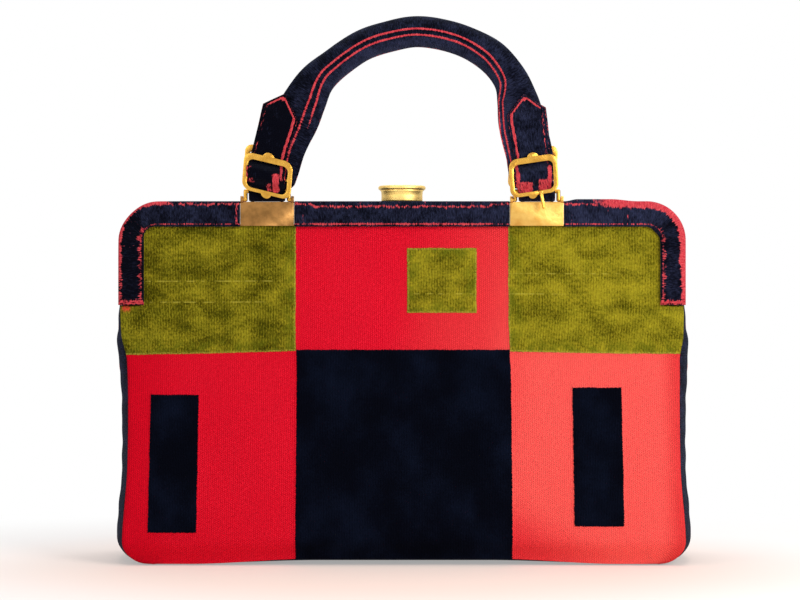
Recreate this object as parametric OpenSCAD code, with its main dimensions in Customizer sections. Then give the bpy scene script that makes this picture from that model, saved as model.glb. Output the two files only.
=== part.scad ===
// Velvet frame handbag: a soft body of figured velvet on a hinged metal frame,
// with a padded top handle, buckled handle straps and a push-button lock.
// Units are millimetres. The bag stands on z = 0, its front looks towards -Y,
// and the origin lies under the middle of the closed bag.

/* [Soft body] */
// How far the seams stand inside the frame's outer edge just under its leg ends
shoulder_in = 1.4; // [0.8:0.1:4]
// How far the seams stand inside the frame's outer edge at the narrowest height
waist_in = 6.15; // [2:0.05:10]
// Height of the narrowest place
waist_z = 52; // [40:1:80]
// How far the seams stand inside the frame's outer edge low down on the body
base_in = 4.4; // [2:0.1:9]
// Half the depth of the body at the base
base_half_depth = 42; // [34:1:52]
// Radius of the lower corners seen from the front
corner_r = 15; // [10:1:22]
// How far the middle of the bottom bows up
bottom_bow = 3; // [0:0.2:8]
// Thickness of the outer cloth with its interlining
cloth_t = 2.2; // [1.6:0.1:3]
// Height of the velvet pile above the ribbed ground cloth
pile_t = 0.8; // [0.4:0.1:1.2]
// How far the side gusset swells outside the seams
gusset_swell = 6.2; // [3:0.2:9]
// How far the bottom gusset swells below the seams in the middle of the bag
bottom_swell = 2; // [0.8:0.1:2.5]
// Thickness of the stiff base board
board_t = 2; // [1.5:0.1:3]
// Thickness of the lining cloth
lining_t = 0.8; // [0.6:0.1:1.2]

/* [Pattern of the velvet] */
// Width of the middle column of the pattern
middle_column_w = 115.5; // [100:0.5:130]
// Height of the line between the upper and the lower fields
field_line_z = 111; // [100:1:122]
// Left edge of the small upper square
square_x = 2.8; // [-40:0.2:10]
// Lower edge of the small upper square
square_z = 132.5; // [124:0.5:136]
// Width of the small upper square
square_w = 37; // [20:0.5:40]
// Height of the small upper square
square_h = 35; // [20:0.5:37]
// Width of the two upright rectangles
upright_w = 26; // [16:0.5:30]
// Height of the two upright rectangles
upright_h = 72; // [50:0.5:78]
// Middle of the left upright rectangle
left_upright_x = -121.5; // [-124:0.5:-90]
// Lower edge of the left upright rectangle
left_upright_z = 17; // [16:0.5:26]
// Middle of the right upright rectangle
right_upright_x = 102.5; // [85:0.5:110]
// Lower edge of the right upright rectangle
right_upright_z = 20.5; // [16:0.5:26]

/* [Frame] */
// Width over the covered frame
frame_w = 303.8; // [300:0.2:312]
// Height of the covered frame's top above the table
frame_top = 191.9; // [184:0.1:200]
// Length of the frame's legs down from its top
leg_l = 55.6; // [48:0.2:64]
// Width of the frame's band seen from the front
band_w = 13.6; // [12:0.1:16]
// Depth of one covered half of the frame
half_depth = 13.7; // [12.5:0.1:15]
// Radius of the frame's outer corners
frame_r = 21; // [17:0.5:26]
// Thickness of the frame's metal
metal_t = 1; // [0.8:0.1:1.2]
// Thickness of the velvet covers on the frame
cover_t = 1.2; // [0.8:0.1:1.5]
// Gap between the two halves when the bag is shut
half_gap = 1; // [0.6:0.1:1.4]
// Height of the hinge axis above the leg ends
hinge_rise = 7; // [6:0.5:9]
// Diameter of the hinge rivets
rivet_d = 3; // [2.4:0.1:4]
// Thickness of the hinge ears
ear_t = 1; // [0.8:0.1:1.4]

/* [Handle plates and bails] */
// Distance of each plate's middle from the middle of the bag
plate_x = 72.1; // [60:0.1:80]
// Width of the brass plates
plate_w = 28.5; // [28:0.1:32]
// Thickness of the brass plates
plate_t = 0.8; // [0.6:0.1:1]
// Diameter of the bail wire
bail_d = 2.2; // [2:0.1:2.6]
// Height of the bail's top bar above its pivots
bail_rise = 4.5; // [4.4:0.1:8]

/* [Lock] */
// Diameter of the lock collar
collar_d = 22; // [18:0.5:24]
// Diameter of the collar's rolled lip
lip_d = 25.7; // [22:0.1:28]
// Thickness of the rolled lip
lip_t = 2.4; // [1.6:0.1:3]
// Height of the collar's lip above the frame's cover
collar_rise = 8.9; // [7:0.1:12]
// Distance of the lock's axis behind the closing line
lock_y = 4; // [3.6:0.1:5]
// Wall of the collar
collar_wall = 1; // [0.8:0.1:1.5]
// Travel of the push button
button_travel = 2; // [1.5:0.1:2.5]
// Diameter of the button's stem
stem_d = 3.2; // [2.6:0.1:3.6]
// Diameter of the spring wire
spring_wire = 0.6; // [0.5:0.1:0.8]
// Number of turns of the spring
spring_turns = 3; // [2:1:4]

/* [Handle] */
// Height of the handle's middle line above the bails
handle_rise = 85.1; // [70:0.1:110]
// Diameter of the padded roll
roll_d = 16.6; // [12:0.2:20]
// Width of the roll's flattened ends
roll_end_w = 25; // [22:0.5:30]

/* [Handle straps and buckles] */
// Width of the handle straps
strap_w = 19.4; // [17:0.1:19.6]
// Thickness of the strap's velvet
strap_t = 1.8; // [1.2:0.1:2]
// Length of the strap from the bail to its pointed tip
strap_l = 51; // [44:0.5:58]
// Length of the pointed tip
tip_l = 9; // [6:0.5:14]
// Outer width of the buckles
buckle_w = 25.6; // [25.2:0.1:28]
// Outer height of the buckles
buckle_h = 20.6; // [17:0.1:22]
// Width of the buckle's two side bars
buckle_bar = 2.3; // [1.8:0.1:2.4]
// Width of the buckle's broad upper bar
buckle_top_bar = 3.2; // [2.2:0.1:3.4]
// Width of the buckle's lower bar
buckle_low_bar = 1.9; // [1.6:0.1:2.4]
// Thickness of the buckles
buckle_t = 2.2; // [1.8:0.1:2.4]
// Height of the front buckles' middle above the bails
front_buckle_z = 8; // [7.4:0.1:10]
// Height of the back buckles' middle above the bails
back_buckle_z = 13.2; // [12:0.1:15]
// Length of the buckle tongue
tongue_l = 9; // [7:0.1:11]

/* [Hidden] */
$fn = 48;

// Colours as the photograph shows them
ground_red = "#e8304a";
pile_green = "#8a8a1c";
pile_navy = "#141a38";
brass = "#e0b050";
board_brown = "#a08060";
lining_grey = "#8d8478";

// Clearances between soft pieces, between a pin and its bore, and below a tucked edge
soft_gap = 0.3;
pin_gap = 0.05;
slide_gap = 0.2;

// Heights along the frame
leg_end = frame_top - leg_l;
hinge_z = leg_end + hinge_rise;
rail_top = frame_top - cover_t;
rail_edge = frame_top - band_w + cover_t;
rail_front = half_depth - cover_t;
rail_back = half_gap / 2;
tuck = 2.5;
panel_top = rail_edge + tuck;
tucked_y = rail_front - metal_t - pile_t - soft_gap;

// Seam to seam widths of the body
shoulder_w = frame_w - 2 * shoulder_in;
waist_w = frame_w - 2 * waist_in;
base_w = frame_w - 2 * base_in;

// Smooth step from 0 at t = 0 to 1 at t = 1
function clamp01(t) = max(0, min(1, t));
function ease(t) = let (c = clamp01(t)) c * c * (3 - 2 * c);
function mix(a, b, t) = a + (b - a) * t;

// List in rising order
function sorted(list) =
    len(list) < 2 ? list :
    let (pivot = list[0])
    concat(
        sorted([for (v = list) if (v < pivot) v]),
        [pivot],
        sorted([for (v = list) if (v > pivot) v])
    );

// Thin solid over a grid of cells: outside and inside give the point of a column and a row,
// and only the cells that the filter keeps are built
module grid_slab(columns, rows, keep, outside, inside) {
    nc = len(columns);
    nr = len(rows);
    shift = nc * nr;
    function at(i, j) = j * nc + i;
    function inside_grid(i, j) = i >= 0 && j >= 0 && i < nc - 1 && j < nr - 1;
    function kept(i, j) = inside_grid(i, j) && keep(columns[i], columns[i + 1], rows[j]);
    function quad(a, b, c, d) = [[c, b, a], [d, c, a]];
    points = concat(
        [for (r = rows) for (c = columns) outside(c, r)],
        [for (r = rows) for (c = columns) inside(c, r)]
    );
    faces = [
        for (j = [0:nr - 2]) for (i = [0:nc - 2]) if (kept(i, j))
            let (a = at(i, j), b = at(i + 1, j), c = at(i + 1, j + 1), d = at(i, j + 1))
            each concat(
                quad(a, b, c, d),
                quad(shift + d, shift + c, shift + b, shift + a),
                kept(i, j - 1) ? [] : quad(shift + a, shift + b, b, a),
                kept(i, j + 1) ? [] : quad(d, c, shift + c, shift + d),
                kept(i - 1, j) ? [] : quad(shift + d, shift + a, a, d),
                kept(i + 1, j) ? [] : quad(b, shift + b, shift + c, c)
            )
    ];
    polyhedron(points, faces);
}

// Seam half-width of the body at a height, before the lower corners are rounded
function side_w(z) =
    z > waist_z
        ? mix(waist_w, shoulder_w, pow((min(z, leg_end) - waist_z) / (leg_end - waist_z), 2)) / 2
        : mix(waist_w, base_w, ease((waist_z - z) / (waist_z - corner_r))) / 2;
function corner_w(z) =
    side_w(z) - (z < corner_r ? corner_r - sqrt(pow(corner_r, 2) - pow(corner_r - z, 2)) : 0);

// Half-depth of the body at the seams: it narrows from the base up to the frame
leg_depth = half_depth - 0.5;
base_round = 3;
function side_depth(z) =
    z > leg_end
        ? mix(leg_depth, tucked_y, ease((z - leg_end) / (rail_edge - 4 - leg_end)))
        : mix(base_half_depth, leg_depth, clamp01((z - corner_r) / (leg_end - corner_r)))
            - base_round * ease(1 - z / corner_r);

// Rise of the bowed bottom, which dies away upwards because the cloth hangs from the frame
bow_start = 45;
bow_end = 112;
function bow_share(x) = 1 - ease((abs(x) - bow_start) / (bow_end - bow_start));
function bow(x) = bottom_bow * bow_share(x);
function seam_rise(x) = bottom_swell * mix(0.4, 1, bow_share(x));
function height(x, z) = z + bow(x) * clamp01(1 - z / rail_edge) + seam_rise(x) * (1 - ease(z / corner_r));

// Face of a panel: its middle swells a little and its edges are drawn into the frame
mouth_w = frame_w / 2 - band_w;
belly = 2.5;
drawn_w = 18;
tuck_start = leg_end - 6;
function panel_y(x, z) =
    let (drawn_in = ease((z - tuck_start) / 5.5) * ease((abs(x) - mouth_w + drawn_w) / (drawn_w - 2)))
    let (swell = belly * sin(180 * clamp01(z / leg_end)) * (1 - pow(clamp01(abs(x) / side_w(z)), 2)))
    mix(side_depth(z) + swell, tucked_y, drawn_in);

// A panel column keeps its share of the width, and the outer ones follow the rounded corner
free_share = 0.85;
function column_x(share, z) =
    let (s = abs(share), w = side_w(z))
    sign(share) * (s <= free_share ? s * w
        : mix(free_share * w, corner_w(z), (s - free_share) / (1 - free_share)));
function panel_point(share, z, proud) =
    let (x = column_x(share, z))
    [x, -panel_y(x, z) - proud, height(x, z)];

// Shares of the half-width at which the pattern and the frame's mouth stand
field_share = middle_column_w / 2 / side_w(field_line_z);
mouth_share = (mouth_w + tuck) / side_w(leg_end);
function upright_share(middle) = [for (side = [-1, 1]) (middle + side * upright_w / 2) / side_w(waist_z)];
left_upright = upright_share(left_upright_x);
right_upright = upright_share(right_upright_x);
square_share = [square_x, square_x + square_w] / side_w(field_line_z);
shoulder_z = leg_end - soft_gap;
green_low = field_line_z + 0.6;
shoulder_rows = [tuck_start, mix(tuck_start, shoulder_z, 0.6)];
panel_columns = sorted(concat(
    [-1, -0.985, -mouth_share, -free_share, -0.6, -field_share, -0.2],
    [field_share, mouth_share, 0.985, 1], left_upright, right_upright, square_share
));
panel_rows = sorted(concat(shoulder_rows, [
    0, corner_r * 0.06, corner_r * 0.25, corner_r * 0.6, corner_r * 0.8, corner_r,
    left_upright_z, right_upright_z, waist_z, mix(waist_z, field_line_z, 0.35),
    left_upright_z + upright_h, right_upright_z + upright_h,
    field_line_z, green_low, mix(field_line_z, tuck_start, 0.6), square_z, shoulder_z,
    mix(leg_end, rail_edge, 0.37), square_z + square_h, rail_edge - 3.5, panel_top
]));

// Is a value of the grid inside a range, edges counted in
function within(a, b, low, high) = a > low - 0.001 && b < high + 0.001;

// One field of velvet pile, rooted in the ground cloth and standing proud of it
pile_root = 0.5;
module pile_field(shares, low, high) {
    grid_slab(
        [for (c = panel_columns) if (within(c, c, shares[0], shares[1])) c],
        [for (r = panel_rows) if (within(r, r, low, high)) r],
        function(c0, c1, r) r < shoulder_z - 0.001 || within(c0, c1, -mouth_share, mouth_share),
        function(c, r) panel_point(c, r, r > rail_edge - 3 ? 0.2 : pile_t),
        function(c, r) panel_point(c, r, -pile_root)
    );
}

// Figured velvet panel: red ribbed ground with fields of green and navy pile
module velvet_panel() {
    color(ground_red) grid_slab(
        panel_columns, panel_rows,
        function(c0, c1, r) r < shoulder_z - 0.001 || within(c0, c1, -mouth_share, mouth_share),
        function(c, r) panel_point(c, r, 0),
        function(c, r) panel_point(c, r, -cloth_t)
    );
    color(pile_green) {
        pile_field([-1, -field_share], green_low, panel_top);
        pile_field([field_share, 1], green_low, panel_top);
        pile_field(square_share, square_z, square_z + square_h);
    }
    color(pile_navy) {
        pile_field([-field_share, field_share], corner_r * 0.06, field_line_z);
        pile_field(left_upright, left_upright_z, left_upright_z + upright_h);
        pile_field(right_upright, right_upright_z, right_upright_z + upright_h);
    }
}
module front_panel() {
    velvet_panel();
}
module back_panel() {
    mirror([0, 1, 0]) velvet_panel();
}

function mirrored(list) = [for (i = [len(list) - 1:-1:0]) list[i]];

// Stations of the gusset down one side: [seam half-width, height, normal across, normal down,
// swell, half-depth]; a negative swell is the web that folds inwards between the frame's legs
web_fold = 8;
web_y = tucked_y - cloth_t - 2 * soft_gap;
seam_inset = cloth_t + soft_gap;
function side_swell(z) = mix(gusset_swell, 2.4, pow(z / leg_end, 6));
side_heights = concat(
    [shoulder_z], mirrored(shoulder_rows), [for (t = [0.125:0.125:1]) mix(tuck_start, corner_r, t)]
);
side_stations = concat(
    [for (z = [rail_edge - 2, mix(hinge_z, rail_edge, 0.5), hinge_z + 2, leg_end + 3])
        [mouth_w - 1.5, z, 1, 0, -web_fold, web_y]],
    [for (z = side_heights) [side_w(z), z, 1, 0, side_swell(z), panel_y(side_w(z), z) - seam_inset]],
    [for (a = [15:15:75]) let (z = corner_r * (1 - sin(a)))
        [side_w(z) - corner_r * (1 - cos(a)), z, cos(a), sin(a), side_swell(z), side_depth(z) - seam_inset]]
);
floor_x = [for (t = [1.03, 0.78, 0.5, 0.18, 0, -0.36]) mix(bow_start, bow_end, t)];
floor_depth = side_depth(0) - seam_inset;
floor_stations = [for (x = concat(corner_w(0), floor_x)) [x, 0, 0, 1, 0, floor_depth]];
gusset_rows = concat(
    [for (s = side_stations) concat(-1, s)], [for (s = floor_stations) concat(-1, s)],
    [for (s = mirrored(floor_stations)) concat(1, s)], [for (s = mirrored(side_stations)) concat(1, s)]
);

// Navy velvet gusset: one strip down a side, along the bottom and up the other side
floor_flat = 0.75;
module gusset() {
    function side_shape(v, swell) = swell < 0 ? 1 - abs(v) : 1 - v * v;
    function floor_shape(v) = 1 - ease((abs(v) - floor_flat) / (1 - floor_flat));
    function gusset_point(v, s, inset) =
        let (out = s[5] * side_shape(v, s[5]) - inset)
        let (x = s[0] * (s[1] + s[3] * out))
        let (down = (seam_rise(x) * floor_shape(v) - inset) * s[4])
        [x, v * s[6], height(x, s[2]) - down];
    color(pile_navy) grid_slab(
        [-1, -0.94, -floor_flat, -0.4, 0, 0.4, floor_flat, 0.94, 1], gusset_rows,
        function(v0, v1, s) true,
        function(v, s) gusset_point(v, s, 0),
        function(v, s) gusset_point(v, s, cloth_t)
    );
}

// Stiff board that keeps the bottom in shape, bowed with it
board_inset = 4;
board_w = side_w(0) - corner_r - board_inset;
board_y = floor_flat * floor_depth;
board_x = concat(-board_w, [for (x = floor_x) -x], mirrored(floor_x), board_w);
module base_board() {
    function board_point(x, y, level) = [x, y, bow(x) + cloth_t + soft_gap + level];
    color(board_brown) grid_slab(
        [-board_y, board_y], board_x,
        function(y0, y1, x) true,
        function(y, x) board_point(x, y, board_t),
        function(y, x) board_point(x, y, 0)
    );
}

// Inner bag of lining cloth, open at the top
lining_floor = bottom_bow + cloth_t + 2 * soft_gap + board_t;
lining_top = rail_edge - 0.6;
lining_w_top = mouth_w - drawn_w - soft_gap;
lining_narrow = tuck_start - 4;
lining_bend = lining_narrow - 32;
module lining() {
    sides = 40;
    levels = [
        lining_floor, 20, 40, 70, lining_bend, mix(lining_bend, lining_narrow, 0.5), lining_narrow,
        leg_end + 2, mix(leg_end, lining_top, 0.6), lining_top
    ];
    function half_w(z) =
        mix(corner_w(z) - cloth_t - 2, lining_w_top,
            ease((z - lining_bend) / (lining_narrow - lining_bend)));
    function half_d(z) =
        let (flat_z = z - (bottom_bow + bottom_swell) * clamp01(1 - z / rail_edge))
        min(side_depth(z), side_depth(flat_z)) - cloth_t - soft_gap;
    function loop(z, inset) = [
        for (i = [0:sides - 1])
            let (a = 360 * i / sides, c = cos(a), s = sin(a))
            [
                sign(c) * pow(abs(c), 0.35) * (half_w(z) - inset),
                sign(s) * pow(abs(s), 0.35) * (half_d(z) - inset), z
            ]
    ];
    outer = [for (z = levels) each loop(z, 0)];
    inner = [for (k = [0:len(levels) - 1]) each [
        for (p = loop(levels[k], lining_t)) k == 0 ? [p[0], p[1], lining_floor + lining_t] : p
    ]];
    n = len(outer);
    last = (len(levels) - 1) * sides;
    function next(i) = (i + 1) % sides;
    faces = concat(
        [for (k = [0:len(levels) - 2]) for (i = [0:sides - 1])
            let (a = k * sides + i, b = k * sides + next(i))
            each [[a, a + sides, b + sides], [a, b + sides, b],
                [n + b, n + b + sides, n + a + sides], [n + b, n + a + sides, n + a]]],
        [for (i = [0:sides - 1]) each [
            [last + i, n + last + i, n + last + next(i)],
            [last + i, n + last + next(i), last + next(i)]]],
        [[for (i = [0:sides - 1]) i], [for (i = [sides - 1:-1:0]) n + i]]
    );
    color(lining_grey) polyhedron(concat(outer, inner), faces);
}

// Sweeps a section along the frame: its x is the distance in from the frame's outer edge
// and its y is the depth. Stretches: the two legs and corners, and the rail from x0 to x1
module along_leg() {
    translate([-frame_w / 2, 0, leg_end]) linear_extrude(leg_l - frame_r) children();
}
module along_corner() {
    translate([frame_r - frame_w / 2, 0, frame_top - frame_r])
        rotate([-90, 0, 0])
            rotate_extrude(angle = 90, start = 180, $fn = 96)
                translate([frame_r, 0]) mirror([1, 0]) children();
}
module along_rail(x0, x1) {
    translate([x0, 0, frame_top]) rotate([0, 90, 0]) linear_extrude(x1 - x0) children();
}
module along_frame() {
    for (side = [0, 1]) mirror([side, 0, 0]) {
        along_leg() children();
        along_corner() children();
    }
    along_rail(frame_r - frame_w / 2, frame_w / 2 - frame_r) children();
}

// Section of the metal channel, open towards the middle of the bag
module rail_section() {
    difference() {
        translate([cover_t, -rail_front]) square([band_w - 2 * cover_t, rail_front - rail_back]);
        translate([cover_t + metal_t, metal_t - rail_front])
            square([band_w, rail_front - rail_back - 2 * metal_t]);
    }
}

// Section of the velvet cover round the front, the outer side and the tucked lower edge
module cover_section() {
    lip = 2 * cover_t;
    difference() {
        translate([0, -half_depth]) square([band_w, half_depth - rail_back]);
        translate([cover_t, -rail_front]) square([band_w, half_depth]);
        translate([band_w - cover_t, lip - half_depth]) square([cover_t + 1, half_depth]);
    }
}

// Room below the hinge, so that the leg ends of the two halves pass each other
open_angle = 32;
module hinge_relief() {
    drop = hinge_rise + 2;
    translate([-frame_w / 2 - 1, 0, hinge_z]) rotate([90, 0, 90])
        linear_extrude(frame_w + 2)
            polygon([[1, 0.5], [0, 0.5], [-drop * tan(open_angle + 3), -drop], [1, -drop]]);
}

// Hinge ears: one on each leg of both halves, side by side on the rivet
ear_r = 4;
ear_x = frame_w / 2 - cover_t - metal_t - 1.4;
module hinge_ear(x) {
    translate([x - ear_t, 0, hinge_z]) rotate([0, 90, 0]) cylinder(h = ear_t, r = ear_r);
    translate([x - ear_t, metal_t / 2 - rail_front, hinge_z - 3])
        cube([ear_t, rail_front - metal_t / 2, 6]);
}
module frame_rail(ear_place) {
    notch_top = hinge_z + ear_r + 3;
    difference() {
        union() {
            difference() {
                along_frame() rail_section();
                translate([-frame_w / 2, -rail_back - metal_t - 0.5, leg_end - 1])
                    cube([frame_w, metal_t + 1, notch_top - leg_end + 1]);
                translate([-frame_w / 2, -half_depth, leg_end - 1])
                    cube([frame_w, half_depth, 1 + cover_t]);
                hinge_relief();
            }
            for (side = [0, 1]) mirror([side, 0, 0]) hinge_ear(ear_place);
        }
        translate([-frame_w / 2, 0, hinge_z]) rotate([0, 90, 0])
            cylinder(h = frame_w, d = rivet_d + 2 * pin_gap);
    }
}
module hinge_rivet() {
    head = 0.8;
    grip = 2 * ear_t + 3 * slide_gap;
    translate([ear_x + slide_gap + head, 0, hinge_z]) rotate([0, -90, 0]) {
        cylinder(h = grip + 2 * head, d = rivet_d);
        cylinder(h = head, d = rivet_d + 2);
        translate([0, 0, head + grip]) cylinder(h = head, d = rivet_d + 2);
    }
}
module hinge_rivet_left() {
    color(brass) mirror([1, 0, 0]) hinge_rivet();
}
module hinge_rivet_right() {
    color(brass) hinge_rivet();
}

// Slot in the closing walls for the catch tongue
tongue_z = rail_top - 7.7;
tongue_t = 0.6;
tongue_w = 13;
module tongue_slot() {
    translate([-tongue_w / 2 - 0.7, -half_gap - metal_t, tongue_z - 1.8])
        cube([tongue_w + 1.4, 2 * (half_gap + metal_t), 4]);
}
module front_frame_rail() {
    color(brass) difference() {
        frame_rail(ear_x);
        tongue_slot();
    }
}
module back_frame_rail() {
    color(brass) difference() {
        mirror([0, 1, 0]) frame_rail(ear_x - ear_t - slide_gap);
        tongue_slot();
        translate([0, lock_y, rail_top - 2]) cylinder(h = 4, d = stem_d + 1.2);
    }
}

// Velvet covers of the front half, broken by the two brass plates
cover_gap = 0.3;
plate_in = plate_x - plate_w / 2 - cover_gap;
plate_out = plate_x + plate_w / 2 + cover_gap;
module side_cover() {
    difference() {
        union() {
            along_leg() cover_section();
            along_corner() cover_section();
            along_rail(frame_r - frame_w / 2, -plate_out) cover_section();
        }
        hinge_relief();
    }
}
module front_cover_left() {
    color(pile_navy) side_cover();
}
module front_cover_right() {
    color(pile_navy) mirror([1, 0, 0]) side_cover();
}
module front_cover_centre() {
    color(pile_navy) along_rail(-plate_in, plate_in) cover_section();
}
boss_d = 8;
module back_cover() {
    color(pile_navy) mirror([0, 1, 0]) difference() {
        along_frame() cover_section();
        hinge_relief();
        translate([0, -lock_y, rail_top - 1]) cylinder(h = 4, d = boss_d + 2 * soft_gap);
    }
}

// Brass handle plate folded over the rail, with a knuckle rolled at each top corner
pivot_y = half_depth - plate_t - 0.5;
pivot_z = rail_top + plate_t + pin_gap + bail_d / 2;
knuckle_l = 1.4;
module handle_plate() {
    face_y = rail_front + plate_t;
    difference() {
        union() {
            translate([-plate_w / 2, -face_y, rail_edge - plate_t])
                cube([plate_w, plate_t, band_w - 2 * cover_t + 2 * plate_t]);
            translate([-plate_w / 2, -face_y, rail_top])
                cube([plate_w, face_y - rail_back - 0.5, plate_t]);
            translate([-plate_w / 2, -face_y, rail_edge - plate_t])
                cube([plate_w, plate_t + metal_t, plate_t]);
            for (side = [0, 1]) mirror([side, 0, 0])
                translate([plate_w / 2 - knuckle_l, -pivot_y, pivot_z]) rotate([0, 90, 0])
                    cylinder(h = knuckle_l, r = pivot_z - rail_top);
        }
        translate([-plate_w, -pivot_y, pivot_z]) rotate([0, 90, 0])
            cylinder(h = 2 * plate_w, d = bail_d + 2 * pin_gap);
    }
}
module left_plate() {
    color(brass) translate([-plate_x, 0, 0]) handle_plate();
}
module right_plate() {
    color(brass) translate([plate_x, 0, 0]) handle_plate();
}

// Bail: a wire bow whose feet turn in the plate's knuckles, with the strap round its top bar
bail_z = pivot_z + bail_rise;
foot_w = plate_w / 2;
bail_leg = foot_w - knuckle_l - slide_gap - bail_d / 2;
module bail() {
    translate([0, -pivot_y, 0]) {
        translate([-bail_leg, 0, bail_z]) rotate([0, 90, 0]) cylinder(h = 2 * bail_leg, d = bail_d);
        for (side = [0, 1]) mirror([side, 0, 0]) {
            translate([bail_leg, 0, bail_z]) sphere(d = bail_d);
            translate([bail_leg, 0, pivot_z]) cylinder(h = bail_rise, d = bail_d);
            translate([bail_leg, 0, pivot_z]) sphere(d = bail_d);
            translate([bail_leg, 0, pivot_z]) rotate([0, 90, 0])
                cylinder(h = foot_w - bail_leg, d = bail_d);
        }
    }
}
module left_bail() {
    color(brass) translate([-plate_x, 0, 0]) bail();
}
module right_bail() {
    color(brass) translate([plate_x, 0, 0]) bail();
}

// Catch: a forked tongue of thin spring steel on the front half reaches round the lock's stem.
// The latch plate on the stem holds its turned-down lips until the button is pressed
lip_drop = button_travel - 0.5;
latch_t = 1.2;
latch_back = lock_y + stem_d / 2 + 1.2;
fork_gap = stem_d + 1.2;
module catch_tongue() {
    flange_h = 8;
    fork_l = 2 * tongue_w;
    flange_y = -rail_back - metal_t;
    tip_y = latch_back + soft_gap + tongue_t;
    color("silver") {
        translate([-tongue_w / 2 - 1.5, flange_y - tongue_t, tongue_z - 3])
            cube([tongue_w + 3, tongue_t, flange_h]);
        difference() {
            union() {
                translate([-tongue_w / 2, flange_y - tongue_t / 2, tongue_z])
                    cube([tongue_w, tip_y - flange_y + tongue_t / 2, tongue_t]);
                translate([-tongue_w / 2, tip_y - tongue_t, tongue_z - lip_drop])
                    cube([tongue_w, tongue_t, lip_drop + tongue_t]);
            }
            translate([-fork_gap / 2, lock_y - stem_d / 2 - 0.6, tongue_z - 3])
                cube([fork_gap, fork_l, flange_h]);
        }
    }
}
module lock_latch() {
    latch_front = rail_back + metal_t + slide_gap;
    color(brass) difference() {
        translate([-tongue_w / 2, latch_front, tongue_z - slide_gap - latch_t])
            cube([tongue_w, latch_back - latch_front, latch_t]);
        translate([0, lock_y, tongue_z - 3]) cylinder(h = 4, d = stem_d);
    }
}

// Lock collar: a spun brass cup with a rolled lip, riveted to the top of the back half
collar_z = frame_top + soft_gap;
collar_top = frame_top + collar_rise;
collar_floor = collar_z + collar_wall;
module lock_collar() {
    color(brass) translate([0, lock_y, 0]) difference() {
        union() {
            translate([0, 0, rail_top]) cylinder(h = collar_floor - rail_top, d = boss_d);
            translate([0, 0, collar_z]) cylinder(h = collar_top - lip_t / 2 - collar_z, d = collar_d);
            translate([0, 0, collar_top - lip_t / 2]) rotate_extrude()
                translate([(lip_d - lip_t) / 2, 0]) circle(d = lip_t, $fn = 24);
        }
        translate([0, 0, collar_floor]) cylinder(h = collar_rise, d = collar_d - 2 * collar_wall);
        translate([0, 0, rail_top - 1]) cylinder(h = 5, d = stem_d + 2 * pin_gap);
    }
}

// Push button in the collar, with its stem down through the rail
button_top = collar_top - 0.5;
button_t = 2.4;
module lock_button() {
    stem_bottom = tongue_z - slide_gap - latch_t;
    color(brass) translate([0, lock_y, 0]) {
        translate([0, 0, button_top - button_t])
            cylinder(h = button_t, d = collar_d - 2 * collar_wall - 4 * pin_gap);
        translate([0, 0, stem_bottom]) cylinder(h = button_top - button_t - stem_bottom + 0.5, d = stem_d);
    }
}

// Return spring under the button: a wire swept along a helix
module lock_spring() {
    sides = 6;
    steps = 14 * spring_turns;
    mean_r = stem_d / 2 + 1.6;
    low = collar_floor + spring_wire / 2;
    high = button_top - button_t - spring_wire / 2;
    points = [
        for (k = [0:steps]) let (a = 360 * spring_turns * k / steps)
            for (i = [0:sides - 1]) let (b = 360 * i / sides, r = mean_r + cos(b) * spring_wire / 2)
                [r * cos(a), lock_y + r * sin(a), mix(low, high, k / steps) + sin(b) * spring_wire / 2]
    ];
    faces = concat(
        [for (k = [0:steps - 1]) for (i = [0:sides - 1])
            let (a = k * sides + i, b = k * sides + (i + 1) % sides)
            each [[a, b, b + sides], [a, b + sides, a + sides]]],
        [[for (i = [sides - 1:-1:0]) i], [for (i = [0:sides - 1]) steps * sides + i]]
    );
    color("silver") polyhedron(points, faces);
}

// Sideways run of a handle strap above the bail: [height where it starts, lean, further lean of its
// upper half], because the strap follows the roll as it bends away
left_lean = [3, 9.5, 4];
right_lean = [0, -8, 0];
upper_half = 20;
function strap_run(h, lean) =
    max(0, h - lean[0]) * tan(lean[1]) + max(0, h - upper_half) * tan(lean[2]);

// Gap between a handle strap's two leaves at a height above the bail, wide where the roll is full
fold_r = bail_d / 2 + soft_gap;
swell_start = 35;
full_gap = roll_d / 2 - 1.8;
function leaf_gap(h) = mix(fold_r, full_gap, ease((h - swell_start) / (strap_l - swell_start)));

// The strap goes over the buckle's middle bar, which stands in line with the buckle
bar_swell = 4.1;
function over_bar(h, x, buckle_z, tilt) =
    let (off = abs(h - buckle_z + x * tan(tilt)))
    bar_swell * ease((7 - off) / 5.5) * ease((h + fold_r) / 4);

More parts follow.
